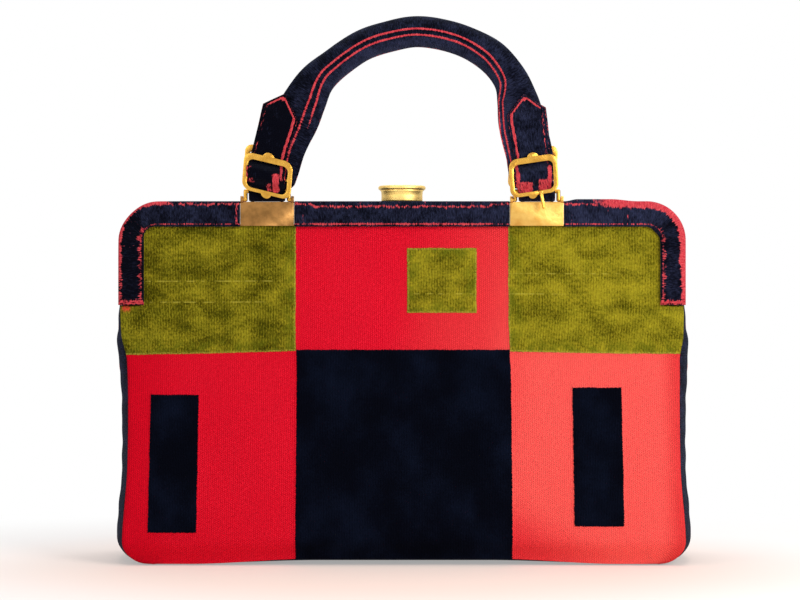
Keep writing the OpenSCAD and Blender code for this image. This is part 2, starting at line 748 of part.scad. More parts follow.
// Handle strap: one velvet strip folded round the bail, with a pointed tip on each face.
// A row is [face, height, angle round the fold]; face -1 is the front leaf, 1 the back one
module handle_strap(lean, tilt) {
    leaf_rows = concat(
        [strap_l, strap_l - 3, strap_l - 6, strap_l - tip_l, swell_start + 4, swell_start, 28],
        [for (k = [16:-1:0]) 1.5 * k], -fold_r
    );
    rows = concat(
        [for (h = leaf_rows) [-1, h, 0]],
        [for (a = [30:30:150]) [0, -fold_r, a]],
        [for (h = mirrored(leaf_rows)) [1, h, 0]]
    );
    function tip_share(h) = clamp01((strap_l - h) / tip_l) * 0.93 + 0.07;
    function strap_point(c, r, out) =
        let (h = r[1], across = c * strap_w / 2 * tip_share(h))
        let (x = across + strap_run(h, lean))
        let (buckle_z = r[0] < 0 ? front_buckle_z : back_buckle_z)
        let (y = leaf_gap(h) + over_bar(h, x - strap_run(buckle_z, lean), buckle_z, tilt) + out)
        r[0] == 0
            ? [x, -(fold_r + out) * cos(r[2]), -fold_r - (fold_r + out) * sin(r[2])]
            : [x, r[0] * y, h];
    color(pile_navy) translate([0, -pivot_y, bail_z]) grid_slab(
        [-1, -0.5, 0, 0.5, 1], rows,
        function(c0, c1, r) true,
        function(c, r) strap_point(c, r, strap_t),
        function(c, r) strap_point(c, r, 0)
    );
}
left_tilt = 14;
right_tilt = -8.5;
module left_strap() {
    translate([-plate_x, 0, 0]) handle_strap(left_lean, left_tilt);
}
module right_strap() {
    translate([plate_x, 0, 0]) handle_strap(right_lean, right_tilt);
}

// Handle: the middle line's points as shares of the plates' distance and of the handle's rise
handle_path = [
    [-0.985, 0.03], [-0.94, 0.14], [-0.89, 0.27], [-0.815, 0.4], [-0.715, 0.57], [-0.58, 0.735],
    [-0.305, 0.91], [-0.055, 0.983], [0.166, 1], [0.416, 0.957], [0.638, 0.856],
    [0.79, 0.714], [0.855, 0.57], [0.9, 0.4], [0.935, 0.27], [0.96, 0.14], [0.985, 0.03]
];
function path_point(i) =
    let (p = handle_path[max(0, min(len(handle_path) - 1, i))])
    [p[0] * plate_x, p[1] * handle_rise];
function spline(i, t) =
    let (a = path_point(i - 1), b = path_point(i), c = path_point(i + 1), d = path_point(i + 2))
    0.5 * (2 * b + (c - a) * t + (2 * a - 5 * b + 4 * c - d) * t * t + (3 * b - a - 3 * c + d) * t * t * t);

// Padded velvet roll, flattened where the straps hold its ends
module handle_roll() {
    sides = 16;
    end_start = 2;
    end_l = 6;
    fill_l = 18;
    last = len(handle_path) - 1;
    stations = concat([for (i = [0:last - 1]) for (t = [0, 0.5]) [i, t]], [[last - 1, 1]]);
    function point_at(k) = let (s = stations[max(0, min(len(stations) - 1, k))]) spline(s[0], s[1]);
    function half_thick(h) = min(roll_d / 2, leaf_gap(h) - soft_gap + 0.2 * max(0, h - strap_l));
    function half_wide(h) =
        let (flat = mix(strap_w / 2, roll_end_w / 2, ease((h - end_start) / end_l)))
        mix(flat, roll_d / 2, ease((h - swell_start) / (strap_l - swell_start + fill_l)));
    points = [
        for (k = [0:len(stations) - 1])
            let (p = point_at(k), way = point_at(k + 1) - point_at(k - 1))
            let (side = [way[1], -way[0]] / norm(way))
            for (i = [0:sides - 1])
                let (a = 360 * i / sides, w = half_wide(p[1]) * cos(a), t = half_thick(p[1]) * sin(a))
                [p[0] + side[0] * w, t - pivot_y, bail_z + max(p[1] + side[1] * w, bail_d / 2 + soft_gap)]
    ];
    n = len(stations);
    faces = concat(
        [for (k = [0:n - 2]) for (i = [0:sides - 1])
            let (a = k * sides + i, b = k * sides + (i + 1) % sides)
            each [[a, a + sides, b + sides], [a, b + sides, b]]],
        [[for (i = [0:sides - 1]) i], [for (i = [sides - 1:-1:0]) (n - 1) * sides + i]]
    );
    color(pile_navy) polyhedron(points, faces);
}

// Buckle: a rounded brass frame with a lobe on each long bar and a bar across its middle
buckle_face = fold_r + strap_t + 0.65;
lobe_r = 2.7;
module rounded_plate(w, h, r) {
    square([w - 2 * r, h], center = true);
    square([w, h - 2 * r], center = true);
    for (x = [-1, 1]) for (y = [-1, 1]) translate([x * (w / 2 - r), y * (h / 2 - r)]) circle(r = r);
}
tongue_x = 2.8;
tongue_loop = 1.9;
hinge_bar_d = 1.9;
module buckle(lower_lobe_x = 0, with_hinge = false) {
    window_h = buckle_h - buckle_top_bar - buckle_low_bar;
    rotate([90, 0, 0]) {
        difference() {
            linear_extrude(buckle_t) difference() {
                union() {
                    rounded_plate(buckle_w, buckle_h, 4.6);
                    translate([0, buckle_h / 2 - 0.9]) circle(r = lobe_r + 0.4);
                    translate([lower_lobe_x, 0.6 - buckle_h / 2])
                        circle(r = lobe_r - abs(lower_lobe_x) / 3);
                }
                translate([0, (buckle_low_bar - buckle_top_bar) / 2])
                    rounded_plate(buckle_w - 2 * buckle_bar, window_h, 3);
            }
            if (with_hinge)
                translate([tongue_x - tongue_loop / 2 - pin_gap, -buckle_h / 2 - 3, -1])
                    cube([tongue_loop + 2 * pin_gap, buckle_low_bar + 3.5, buckle_t + 2]);
        }
        translate([-buckle_w / 2 + 1, -0.6, 0.1]) cube([buckle_w - 2, 1.2, 1.1]);
        if (with_hinge)
            translate([tongue_x - 2, (buckle_low_bar - buckle_h) / 2, buckle_t / 2]) rotate([0, 90, 0])
                cylinder(h = 4, d = hinge_bar_d);
    }
}
module at_buckle(plate, lean, tilt, z) {
    translate([plate + strap_run(z, lean), -pivot_y - buckle_face, bail_z + z])
        rotate([0, tilt, 0]) children();
}
module at_back_buckle(plate, lean, tilt) {
    translate([0, -2 * pivot_y, 0]) mirror([0, 1, 0])
        at_buckle(plate, lean, tilt, back_buckle_z) children();
}
module left_front_buckle() {
    color(brass) at_buckle(-plate_x, left_lean, left_tilt, front_buckle_z) buckle();
}
module left_back_buckle() {
    color(brass) at_back_buckle(-plate_x, left_lean, left_tilt) buckle();
}
module right_front_buckle() {
    color(brass) at_buckle(plate_x, right_lean, right_tilt, front_buckle_z)
        buckle(lower_lobe_x = -0.9, with_hinge = true);
}
module right_back_buckle() {
    color(brass) at_back_buckle(plate_x, right_lean, right_tilt) buckle();
}

// Loose tongue that hangs from the lower bar of the right front buckle
module right_buckle_tongue() {
    loop_d = hinge_bar_d + 2 * pin_gap + 1.2;
    color(brass) at_buckle(plate_x, right_lean, right_tilt, front_buckle_z)
        translate([tongue_x, -buckle_t / 2, (buckle_low_bar - buckle_h) / 2])
            difference() {
                union() {
                    rotate([0, 90, 0]) cylinder(h = tongue_loop, d = loop_d, center = true);
                    translate([-0.8, -loop_d / 2, 0.8 - tongue_l]) cube([1.6, 0.8, tongue_l - 0.8]);
                    translate([0, -loop_d / 2, 0.8 - tongue_l]) rotate([-90, 0, 0])
                        cylinder(h = 0.8, r = 0.8);
                }
                rotate([0, 90, 0]) cylinder(h = 4, d = hinge_bar_d + 2 * pin_gap, center = true);
            }
}

front_panel();
back_panel();
gusset();
base_board();
lining();
hinge_rivet_left();
hinge_rivet_right();
front_frame_rail();
front_cover_left();
front_cover_centre();
front_cover_right();
left_plate();
right_plate();
catch_tongue();
back_frame_rail();
back_cover();
lock_collar();
lock_spring();
lock_button();
lock_latch();
left_bail();
right_bail();
handle_roll();
left_strap();
right_strap();
left_front_buckle();
left_back_buckle();
right_front_buckle();
right_back_buckle();
right_buckle_tongue();
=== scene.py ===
"""Velvet frame handbag: figured velvet body, covered hinged frame, padded handle and brass fittings."""

import math

import bmesh
import bpy
import numpy as np
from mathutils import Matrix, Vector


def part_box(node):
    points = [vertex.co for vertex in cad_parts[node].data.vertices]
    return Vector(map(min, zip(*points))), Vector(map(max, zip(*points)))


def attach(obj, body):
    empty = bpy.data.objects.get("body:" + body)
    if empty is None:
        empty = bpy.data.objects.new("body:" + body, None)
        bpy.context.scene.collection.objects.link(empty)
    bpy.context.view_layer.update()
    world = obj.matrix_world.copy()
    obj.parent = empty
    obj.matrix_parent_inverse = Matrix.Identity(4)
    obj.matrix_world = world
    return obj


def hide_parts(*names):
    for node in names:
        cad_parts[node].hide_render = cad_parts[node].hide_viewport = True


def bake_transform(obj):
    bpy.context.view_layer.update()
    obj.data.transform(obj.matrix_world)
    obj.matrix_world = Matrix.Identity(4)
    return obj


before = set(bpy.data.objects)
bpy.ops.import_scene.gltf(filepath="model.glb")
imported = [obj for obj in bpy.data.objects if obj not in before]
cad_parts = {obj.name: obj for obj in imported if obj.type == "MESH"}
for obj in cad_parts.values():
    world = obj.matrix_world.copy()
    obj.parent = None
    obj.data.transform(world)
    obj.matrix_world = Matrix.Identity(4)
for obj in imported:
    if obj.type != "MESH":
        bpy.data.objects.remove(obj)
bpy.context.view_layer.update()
scene = bpy.context.scene
scene.view_settings.view_transform = "Standard"

# Camera: square-on to the bag's front, level with the middle of its body, from about four bag
# widths away, with a long lens.
CAMERA_PLACE = (-0.00107, -1.27, 0.139)
LENS = 105.8
SENSOR_W = 36
camera_data = bpy.data.cameras.new("camera")
camera_data.lens = LENS
camera_data.sensor_width = SENSOR_W
camera = bpy.data.objects.new("camera", camera_data)
camera.location = CAMERA_PLACE
camera.rotation_euler = (math.pi / 2, 0, 0)
scene.collection.objects.link(camera)
scene.camera = camera


# Shared functions for numbers: steps, bells and rounded edges, which also work on whole grids.
def smooth(t):
    """Smooth step: 0 below 0, 1 above 1, and 3t^2 - 2t^3 between."""
    t = np.clip(t, 0, 1)
    return t * t * (3 - 2 * t)


def blur(value, low, high):
    """Smooth step of a value from low to high."""
    return smooth((value - low) / (high - low))


def mix(a, b, t):
    """Straight mix of two values by a share."""
    return a + (b - a) * t


def bell(value, place, width):
    """1 where a value is at a place, falling off as a bell on both sides."""
    return np.exp(-(((value - place) / width) ** 2))


def rounded(distance, radius):
    """0 at a radius or more inside an edge, rising as a quarter circle to 1 on the edge."""
    return 1 - np.sqrt(np.clip(1 - (1 - np.clip(distance / radius, 0, 1)) ** 2, 0, 1))


def joined(*values):
    """Numbers side by side in the last place of a grid, each spread over the whole grid."""
    return np.stack(np.broadcast_arrays(*values), -1)


def path_run(line):
    """Length along a line of points from its first point."""
    return np.cumsum(np.concatenate([[0], np.linalg.norm(np.diff(line, axis=0), axis=-1)]))


# Shared functions for meshes: each soft piece is one grid of points, turned into faces and given a wall.
def surface(name, points, uv, wrap=False, flip=False, keep=None, marks=None, ends=False):
    """Mesh over a grid of points (rows, columns, 3). Each face joins four neighbours; wrap closes the
    columns into a tube, ends caps its two ends, and flip turns the faces over. keep drops faces, and
    marks are numbers per point."""
    rows, columns = points.shape[:2]
    marks = {mark: np.broadcast_to(values, (rows, columns)) for mark, values in (marks or {}).items()}
    if flip:
        points, uv = points[:, ::-1], uv[:, ::-1]
        keep = None if keep is None else keep[:, ::-1]
        marks = {mark: values[:, ::-1] for mark, values in marks.items()}
    across = columns if wrap else columns - 1
    i, j = np.meshgrid(np.arange(rows - 1), np.arange(across), indexing="ij")
    k = (j + 1) % columns
    faces = np.stack([i * columns + j, i * columns + k, (i + 1) * columns + k, (i + 1) * columns + j], -1)
    corners = np.stack([uv[i, j], uv[i, j + 1], uv[i + 1, j + 1], uv[i + 1, j]], -2)
    if keep is not None:
        faces = faces[keep]
        corners = corners[keep]
    used, index = np.unique(faces.reshape(-1, 4), return_inverse=True)
    faces = index.reshape(-1, 4).tolist()
    corners = corners.reshape(-1, 2)
    if ends:
        faces.append(list(range(columns))[::-1])
        faces.append(list(range((rows - 1) * columns, rows * columns)))
        corners = np.concatenate([corners, uv[0, :columns][::-1], uv[-1, :columns]])
    mesh = bpy.data.meshes.new(name)
    mesh.from_pydata(points.reshape(-1, 3)[used].tolist(), [], faces)
    layer = mesh.uv_layers.new(name="cloth")
    layer.data.foreach_set("uv", corners.ravel().astype(np.float32))
    for mark, values in marks.items():
        attribute = mesh.attributes.new(mark, "FLOAT", "POINT")
        attribute.data.foreach_set("value", values.ravel()[used].astype(np.float32))
    mesh.shade_smooth()
    piece = bpy.data.objects.new(name, mesh)
    scene.collection.objects.link(piece)
    return piece


def face_outwards(piece):
    """Turns the faces of a closed mesh outwards."""
    work = bmesh.new()
    work.from_mesh(piece.data)
    bmesh.ops.recalc_face_normals(work, faces=work.faces)
    work.to_mesh(piece.data)
    work.free()


def thicken(piece, thickness):
    """Gives a sheet its wall, on the side away from its faces."""
    wall = piece.modifiers.new("wall", "SOLIDIFY")
    wall.thickness = thickness
    wall.offset = -1
    wall.use_quality_normals = True


# Shared functions for materials: nodes that take numbers or sockets and return a socket. A socket
# knows its own node tree, so the new node joins that tree.
def feed(socket, value):
    """Links a socket, or sets a number or a colour, on an input socket."""
    if isinstance(value, bpy.types.NodeSocket):
        socket.id_data.links.new(value, socket)
    else:
        socket.default_value = value


def add_node(tree, kind, **sockets):
    """Adds a shader node and feeds its input sockets by name."""
    node = tree.nodes.new(kind)
    for socket, value in sockets.items():
        feed(node.inputs[socket], value)
    return node


def calc(operation, *values):
    """Math node over numbers and sockets, at least one of them a socket; its result."""
    tree = next(value.id_data for value in values if isinstance(value, bpy.types.NodeSocket))
    node = tree.nodes.new("ShaderNodeMath")
    node.operation = operation
    for socket, value in zip(node.inputs, values):
        feed(socket, value)
    return node.outputs[0]


def ramp(value, low, high, out_low=0.0, out_high=1.0):
    """Smooth step of a socket between two limits, spread over an output range."""
    node = value.id_data.nodes.new("ShaderNodeMapRange")
    node.interpolation_type = "SMOOTHSTEP"
    for name, number in (("Value", value), ("From Min", low), ("From Max", high),
                         ("To Min", out_low), ("To Max", out_high)):
        feed(node.inputs[name], number)
    return node.outputs["Result"]


def tint(share, first, second):
    """Mix of two colours, each a socket or a linear RGB triple, by a share."""
    node = share.id_data.nodes.new("ShaderNodeMix")
    node.data_type = "RGBA"
    for socket, value in ((node.inputs[0], share), (node.inputs[6], first), (node.inputs[7], second)):
        feed(socket, (*value, 1) if isinstance(value, tuple) else value)
    return node.outputs[2]


def noise(vector, scale, detail=2.0, roughness=0.5):
    """Noise value of a pattern vector; scale is in cells per metre."""
    node = add_node(vector.id_data, "ShaderNodeTexNoise", Vector=vector, Scale=scale, Detail=detail)
    node.inputs["Roughness"].default_value = roughness
    return node.outputs[0]


def centred(value):
    """A noise or share taken about its middle, from -0.5 to 0.5."""
    return calc("SUBTRACT", value, 0.5)


def stretched(vector, across, along):
    """Pattern vector with its two axes scaled apart, for ribs and streaks."""
    node = add_node(vector.id_data, "ShaderNodeVectorMath", Vector=vector)
    node.operation = "MULTIPLY"
    node.inputs[1].default_value = (across, along, 1)
    return node.outputs[0]


def ribs(coordinate, pitch, sway=0.0):
    """Ribs across a coordinate: a sine from 0 to 1 with the given pitch, its phase swayed by a socket."""
    phase = calc("MULTIPLY", coordinate, 2 * math.pi / pitch)
    phase = calc("ADD", phase, sway)
    return calc("MULTIPLY_ADD", calc("SINE", phase), 0.5, 0.5)


def mix_shaders(share, first, second):
    """Mix of two shaders by a share."""
    node = add_node(share.id_data, "ShaderNodeMixShader", Fac=share)
    feed(node.inputs[1], first)
    feed(node.inputs[2], second)
    return node.outputs[0]


def object_place(tree):
    """Place in the object's own metres."""
    return add_node(tree, "ShaderNodeTexCoord").outputs["Object"]


def cloth_place(tree):
    """Place in the cloth's own measure: across or along the strip, and up or across it."""
    place = add_node(tree, "ShaderNodeUVMap")
    place.uv_map = "cloth"
    return place.outputs[0]


def axes(vector):
    """First and second number of a vector."""
    split = add_node(vector.id_data, "ShaderNodeSeparateXYZ", Vector=vector)
    return split.outputs[0], split.outputs[1]


def mark_value(tree, mark):
    """Number per point that a surface was given."""
    node = tree.nodes.new("ShaderNodeAttribute")
    node.attribute_name = mark
    return node.outputs["Fac"]


def new_finish(name, roughness, metallic=0.0):
    """New material with its node tree and its shader, whose plain numbers are set here."""
    finish = bpy.data.materials.new(name)
    finish.use_nodes = True
    shader = finish.node_tree.nodes["Principled BSDF"]
    shader.inputs["Roughness"].default_value = roughness
    shader.inputs["Metallic"].default_value = metallic
    return finish, finish.node_tree, shader


def raise_bumps(shader, height, distance):
    """Bump of a height socket, as deep as the distance in metres."""
    bump = add_node(shader.id_data, "ShaderNodeBump", Height=height, Distance=distance, Strength=1.0)
    feed(shader.inputs["Normal"], bump.outputs[0])


def soften_velvet(shader, sheen, sheen_tint):
    """Sheen of pile seen along its surface, and hardly any gloss."""
    shader.inputs["Sheen Weight"].default_value = sheen
    shader.inputs["Sheen Roughness"].default_value = 0.45
    shader.inputs["Sheen Tint"].default_value = (*sheen_tint, 1)
    shader.inputs["Specular IOR Level"].default_value = 0.02


# Studio: a white sweep under and behind the bag, and large soft lamps, the strongest from the right.
# The sweep shows as white to the camera and in the brass, and still takes the bag's soft shadow. Round
# the bag its colour is tinted pink: painted reflection of the red velvet and painted warm shadow.
def lamp(name, place, aim, size, watts):
    """Square soft lamp at a place, turned towards a point."""
    data = bpy.data.lights.new(name, "AREA")
    data.size = size
    data.energy = watts
    light = bpy.data.objects.new(name, data)
    way = np.subtract(aim, place)
    light.location = place
    light.rotation_euler = (
        math.atan2(math.hypot(way[0], way[1]), -way[2]),
        0,
        math.atan2(way[0], -way[1]) + math.pi,
    )
    scene.collection.objects.link(light)


lamp("key", (0.66, -0.78, 0.48), (0.10, 0, 0.12), 0.5, 9)
lamp("fill", (-0.9, -1.0, 0.55), (0, 0, 0.12), 0.9, 4.5)
lamp("top", (0.1, 0.25, 1.25), (0, 0, 0.1), 0.9, 9)

ROOM_LIGHT = 0.42
ROOM_GLEAM = 0.40
WHITE = (1, 1, 1, 1)
world = bpy.data.worlds.new("studio")
world.use_nodes = True
scene.world = world
sky = world.node_tree
rays = sky.nodes.new("ShaderNodeLightPath").outputs
room = sky.nodes["Background"]
room.inputs["Color"].default_value = WHITE
feed(room.inputs["Strength"], calc("MULTIPLY_ADD", rays["Is Glossy Ray"], ROOM_GLEAM, ROOM_LIGHT))
seen = add_node(sky, "ShaderNodeBackground", Color=WHITE, Strength=1)
straight = calc("MAXIMUM", rays["Is Camera Ray"], rays["Is Transmission Ray"])
backdrop = mix_shaders(straight, room.outputs[0], seen.outputs[0])
feed(sky.nodes["World Output"].inputs["Surface"], backdrop)

SWEEP_WHITE = (0.90, 0.86, 0.84)
SWEEP_PAINTED_BOUNCE = (0.88, 0.60, 0.48)
BOUNCE_PAINT_HALF_W = 0.21
BOUNCE_PAINT_HALF_D = 0.16
BOUNCE_PAINT_FORWARD = 0.30
SHADOW_SHARE = 0.36
FLOOR_HALF = 6
sweep_paint, tree, shader = new_finish("white_sweep", 0.8)
oval = add_node(tree, "ShaderNodeVectorMath", Vector=object_place(tree))
oval.operation = "MULTIPLY_ADD"
oval.inputs[1].default_value = (1 / BOUNCE_PAINT_HALF_W, 1 / BOUNCE_PAINT_HALF_D, 0)
oval.inputs[2].default_value = (0, BOUNCE_PAINT_FORWARD, 0)
reach = add_node(tree, "ShaderNodeVectorMath", Vector=oval.outputs[0])
reach.operation = "LENGTH"
reach = reach.outputs["Value"]
# Painted reflection and shadow: the sweep's colour turns pink in an oval round the bag, standing in for the
# red velvet's bounce light and warm shadow
feed(shader.inputs["Base Color"], tint(ramp(reach, 1.45, 0.5), SWEEP_WHITE, SWEEP_PAINTED_BOUNCE))
rays = tree.nodes.new("ShaderNodeLightPath").outputs
straight = calc("MAXIMUM", rays["Is Camera Ray"], rays["Is Glossy Ray"])
glowing = calc("MULTIPLY", straight, ramp(reach, 1.1, 2.1, SHADOW_SHARE))
glow = add_node(tree, "ShaderNodeEmission")
sweep = mix_shaders(glowing, shader.outputs[0], glow.outputs[0])
feed(tree.nodes["Material Output"].inputs["Surface"], sweep)

floor_mesh = bpy.data.meshes.new("floor")
floor_corners = [(x * FLOOR_HALF, y * FLOOR_HALF, 0) for x, y in ((-1, -1), (1, -1), (1, 1), (-1, 1))]
floor_mesh.from_pydata(floor_corners, [], [(0, 1, 2, 3)])
floor_mesh.materials.append(sweep_paint)
floor = bpy.data.objects.new("floor", floor_mesh)
scene.collection.objects.link(floor)


# Front and back panels: jacquard velvet with olive and navy cut pile standing on a red ribbed
# ground. Each is cut wider at the shoulders than at the waist, stretched over stiff interlining,
# turned in at the side seams and tucked up inside the frame.
frame_half_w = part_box("back_cover")[1].x
frame_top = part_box("back_cover")[1].z
leg_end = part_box("back_cover")[0].z
half_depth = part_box("back_cover")[1].y
BAND_W = 0.0136
COVER_T = 0.0012
METAL_T = 0.001
CLOTH_T = 0.0022
PILE_T = 0.0008
SOFT_GAP = 0.0003
rail_edge = frame_top - BAND_W + COVER_T
panel_top = rail_edge + 0.0025
tucked_y = half_depth - COVER_T - METAL_T - PILE_T - SOFT_GAP
leg_depth = half_depth - 0.0005
MOUTH_HALF = frame_half_w - BAND_W
SHOULDER_HALF = 0.1490
SHOULDER_SPREAD = 0.0021
SPREAD_FROM, SPREAD_TO = 0.107, 0.121
WAIST_HALF = 0.14575
WAIST_Z = 0.052
BASE_HALF = 0.1475
BASE_DEPTH = 0.042
BASE_TUCK = 0.003
CORNER_R = 0.0128
CORNER_LOW = 0.0026
CORNER_WALL = 0.1
BOTTOM_BOW = 0.0016
BOW_FROM, BOW_TO = 0.045, 0.112
BOTTOM_SWELL = 0.002
END_SWELL_SHARE = 0.4
SIDEWAYS = 0.0010
SIDEWAYS_FADE = 0.04
BELLY = 0.0025
PULL_H = 0.0055
PULL_BELOW = 0.006
PULL_W = 0.016
PULL_IN = 0.018
HEM_R = 0.0026
HEM_DEPTH = 0.0016
CORNER_SHARE = 0.85


def side_half(z):
    """Seam half-width: a parabola widens it from the waist to the shoulder, a smooth step to the base."""
    upper = mix(WAIST_HALF, SHOULDER_HALF, ((np.minimum(z, leg_end) - WAIST_Z) / (leg_end - WAIST_Z)) ** 2)
    lower = mix(WAIST_HALF, BASE_HALF, smooth((WAIST_Z - z) / (WAIST_Z - CORNER_R)))
    return np.where(z > WAIST_Z, upper + SHOULDER_SPREAD * blur(z, SPREAD_FROM, SPREAD_TO), lower)


def corner_half(z):
    """Seam half-width with the lower corner cut to an arc."""
    rise = np.clip(CORNER_R - z, 0, CORNER_R)
    return side_half(z) - (CORNER_R - np.sqrt(CORNER_R**2 - rise**2))


def seam_depth(z):
    """Half-depth at the seams: straight from the base to the leg ends, then into the frame."""
    upper = mix(leg_depth, tucked_y, smooth((z - leg_end) / (rail_edge - 0.004 - leg_end)))
    lower = mix(BASE_DEPTH, leg_depth, np.clip((z - CORNER_R) / (leg_end - CORNER_R), 0, 1))
    return np.where(z > leg_end, upper, lower - BASE_TUCK * smooth(1 - z / CORNER_R))


def bow_share(x):
    """Share of the bottom's bow: 1 in the middle, falling off by a smooth step to its two ends."""
    return 1 - blur(np.abs(x), BOW_FROM, BOW_TO)


def seam_rise(x):
    """Height of the bottom seams above the gusset's floor, least at the two ends."""
    return BOTTOM_SWELL * mix(END_SWELL_SHARE, 1, bow_share(x))


def cloth_height(x, z):
    """Height of a point of the cloth: the bow dies away upwards."""
    bow = BOTTOM_BOW * bow_share(x) * np.clip(1 - z / rail_edge, 0, 1)
    return z + bow + seam_rise(x) * (1 - smooth(z / CORNER_R))


def sideways(z):
    """Small lean of the soft body to the right below the frame."""
    lean_end = leg_end - 0.004
    return SIDEWAYS * blur(z, lean_end, lean_end - SIDEWAYS_FADE)


def shoulder_pull(z):
    """Smooth step from 0 to 1 where the cloth is pulled into the frame at the leg ends."""
    return smooth((z - leg_end + PULL_BELOW) / PULL_H)


def panel_depth(x, z):
    """Half-depth of a panel: the seams' depth, a sine belly, and a pull into the frame at the shoulders."""
    drawn_in = shoulder_pull(z) * smooth((np.abs(x) - MOUTH_HALF + PULL_IN) / PULL_W)
    across = 1 - np.clip(np.abs(x) / side_half(z), 0, 1) ** 2
    belly = BELLY * np.sin(np.pi * np.clip(z / leg_end, 0, 1)) * across
    return mix(seam_depth(z) + belly, tucked_y, drawn_in)


# Fields of pile in the cloth's own measure: the middle across and up, the width and the height,
# and how far the sides lean. Measured across at the waist, and up from the bottom seam.
COLUMN_HALF = 0.0568
OLIVE_FIELDS = [
    (-0.1060, 0.1530, 0.0984, 0.0850, 0.016),
    (0.1065, 0.1530, 0.0993, 0.0848, -0.008),
    (0.0213, 0.1492, 0.0372, 0.0350, 0.0),
]
NAVY_FIELDS = [
    (0.0, 0.0510, 2 * COLUMN_HALF, 0.1220, 0.0),
    (-0.1213, 0.0531, 0.0256, 0.0716, -0.010),
    (0.1022, 0.0565, 0.0262, 0.0722, 0.008),
]


def field_distance(u, v, field):
    """Distance outside a leaning rectangle: the greater of the distances past its sides and its ends."""
    middle_u, middle_v, width, height, lean = field
    du = np.abs(u - middle_u) - width / 2
    dv = np.abs(v - middle_v - lean * (u - middle_u)) - height / 2
    return np.maximum(du, dv)


def panel_rows():
    """Heights of a panel's rows: close in the lower corners, even up the side, and inside the frame."""
    return np.concatenate([
        np.linspace(0, 1, 14) ** 1.6 * CORNER_R,
        np.linspace(CORNER_R + 0.0035, leg_end - 0.0003, 108),
        np.linspace(leg_end + 0.0008, panel_top, 42),
    ])


def panel_surface(name, side):
    """Velvet panel on one side of the bag (-1 front, 1 back): shares of the seam width times heights."""
    near_edge = np.array([0.992, 0.996, 0.9985, 1])
    shares = np.concatenate([-near_edge[::-1], np.linspace(-0.985, 0.985, 284), near_edge])
    heights = panel_rows()
    s, z = np.meshgrid(shares, heights)
    half = side_half(z)
    past = (np.abs(s) - CORNER_SHARE) / (1 - CORNER_SHARE)
    x = np.where(past <= 0, s * half, np.sign(s) * mix(CORNER_SHARE * half, corner_half(z), past))
    u = s * half
    pile = np.zeros_like(u)
    for field in OLIVE_FIELDS + NAVY_FIELDS:
        pile = np.maximum(pile, 1 - blur(field_distance(u, z, field), -0.0004, 0.0006))
    proud = PILE_T * pile * mix(1, 0.25, blur(z, rail_edge - 0.004, rail_edge - 0.001))
    edge = (1 - np.abs(s)) * half
    slack = 0.00022 * np.sin(u * 61 + 2 * np.sin(z * 37)) * np.sin(z * 71 + 1.5 * np.sin(u * 23 + side))
    slack += 0.0003 * bell(edge, 0.006, 0.004) * np.sin(z * 190 + 5 * np.sin(u * 9))
    slack *= blur(edge, 0, 0.004) * (z < leg_end)
    y = side * (panel_depth(x, z) + proud - HEM_DEPTH * rounded(edge, HEM_R) + slack)
    raised = cloth_height(x, z)
    middle = (shares[:-1] + shares[1:]) / 2
    in_mouth = np.abs(middle) < (MOUTH_HALF + 0.0025) / side_half(leg_end)
    keep = (heights[1:] < leg_end)[:, None] | in_mouth[None, :]
    panel = surface(name, joined(x + sideways(raised), y, raised), joined(u, z), flip=side > 0, keep=keep)
    thicken(panel, CLOTH_T)
    wall = panel.vertex_groups.new(name="wall")
    wall.add(list(range(len(panel.data.vertices))), 1.0, "REPLACE")
    corner_x = BASE_HALF - 2 * CORNER_R
    corners = [v.index for v in panel.data.vertices if v.co.z < CORNER_LOW and abs(v.co.x) > corner_x]
    wall.add(corners, CORNER_WALL, "REPLACE")
    panel.modifiers["wall"].vertex_group = "wall"
    return panel


GROUND_RED = (0.82, 0.015, 0.038)
DEEP_RED = (0.50, 0.0015, 0.011)
# Painted light: lit, paler copies of the red ground, for the glow of the key light from the right
PAINTED_LIT_DEEP = (0.74, 0.062, 0.060)
PAINTED_LIT_RED = (0.82, 0.115, 0.090)
OLIVE_DARK = (0.026, 0.024, 0.0006)
OLIVE_LIGHT = (0.37, 0.31, 0.016)
OLIVE_GREEN = (0.17, 0.20, 0.010)
OLIVE_FRINGE = (0.44, 0.39, 0.05)
PANEL_NAVY = (0.0010, 0.0014, 0.0040)
PANEL_BLUE = (0.0032, 0.0055, 0.0150)
RIB_PITCH = 0.00085
GROUND_PITCH = 0.0011
WEFT_PITCH = 0.00105
FRAY = 0.0011
WANDER = 0.0006
# Pulled threads in the olive pile: the height, and where each begins and ends across
PULLED_THREADS = [
    (0.1490, -0.15, -0.06),
    (0.1378, -0.15, -0.07),
    (0.1530, 0.05, 0.12),
    (0.1420, 0.0, 0.09),
]

figured_velvet, tree, shader = new_finish("figured_velvet", 0.9)
soften_velvet(shader, 0.0, (1.0, 0.9, 0.7))
cloth = cloth_place(tree)
across, along = axes(cloth)
frayed = calc("MULTIPLY", centred(noise(cloth, 1700, 1.5)), FRAY)
wander = calc("MULTIPLY", centred(noise(cloth, 90, 1.0)), WANDER)
shift = calc("ADD", frayed, wander)


def field_nodes(field):
    """Distance outside one field of pile as a socket, frayed and wandering a little."""
    middle_u, middle_v, width, height, lean = field
    off_u = calc("SUBTRACT", across, middle_u)
    leaned = calc("MULTIPLY_ADD", off_u, -lean, calc("SUBTRACT", along, middle_v))
    du = calc("SUBTRACT", calc("ABSOLUTE", off_u), width / 2)
    dv = calc("SUBTRACT", calc("ABSOLUTE", leaned), height / 2)
    return calc("ADD", calc("MAXIMUM", du, dv), shift)


def nearest(fields):
    """Least distance to any of the fields."""
    distance = field_nodes(fields[0])
    for field in fields[1:]:
        distance = calc("MINIMUM", distance, field_nodes(field))
    return distance


olive_distance = nearest(OLIVE_FIELDS)
navy_distance = nearest(NAVY_FIELDS)
olive = ramp(olive_distance, 0.0001, -0.0002)
navy = ramp(navy_distance, 0.0001, -0.0002)

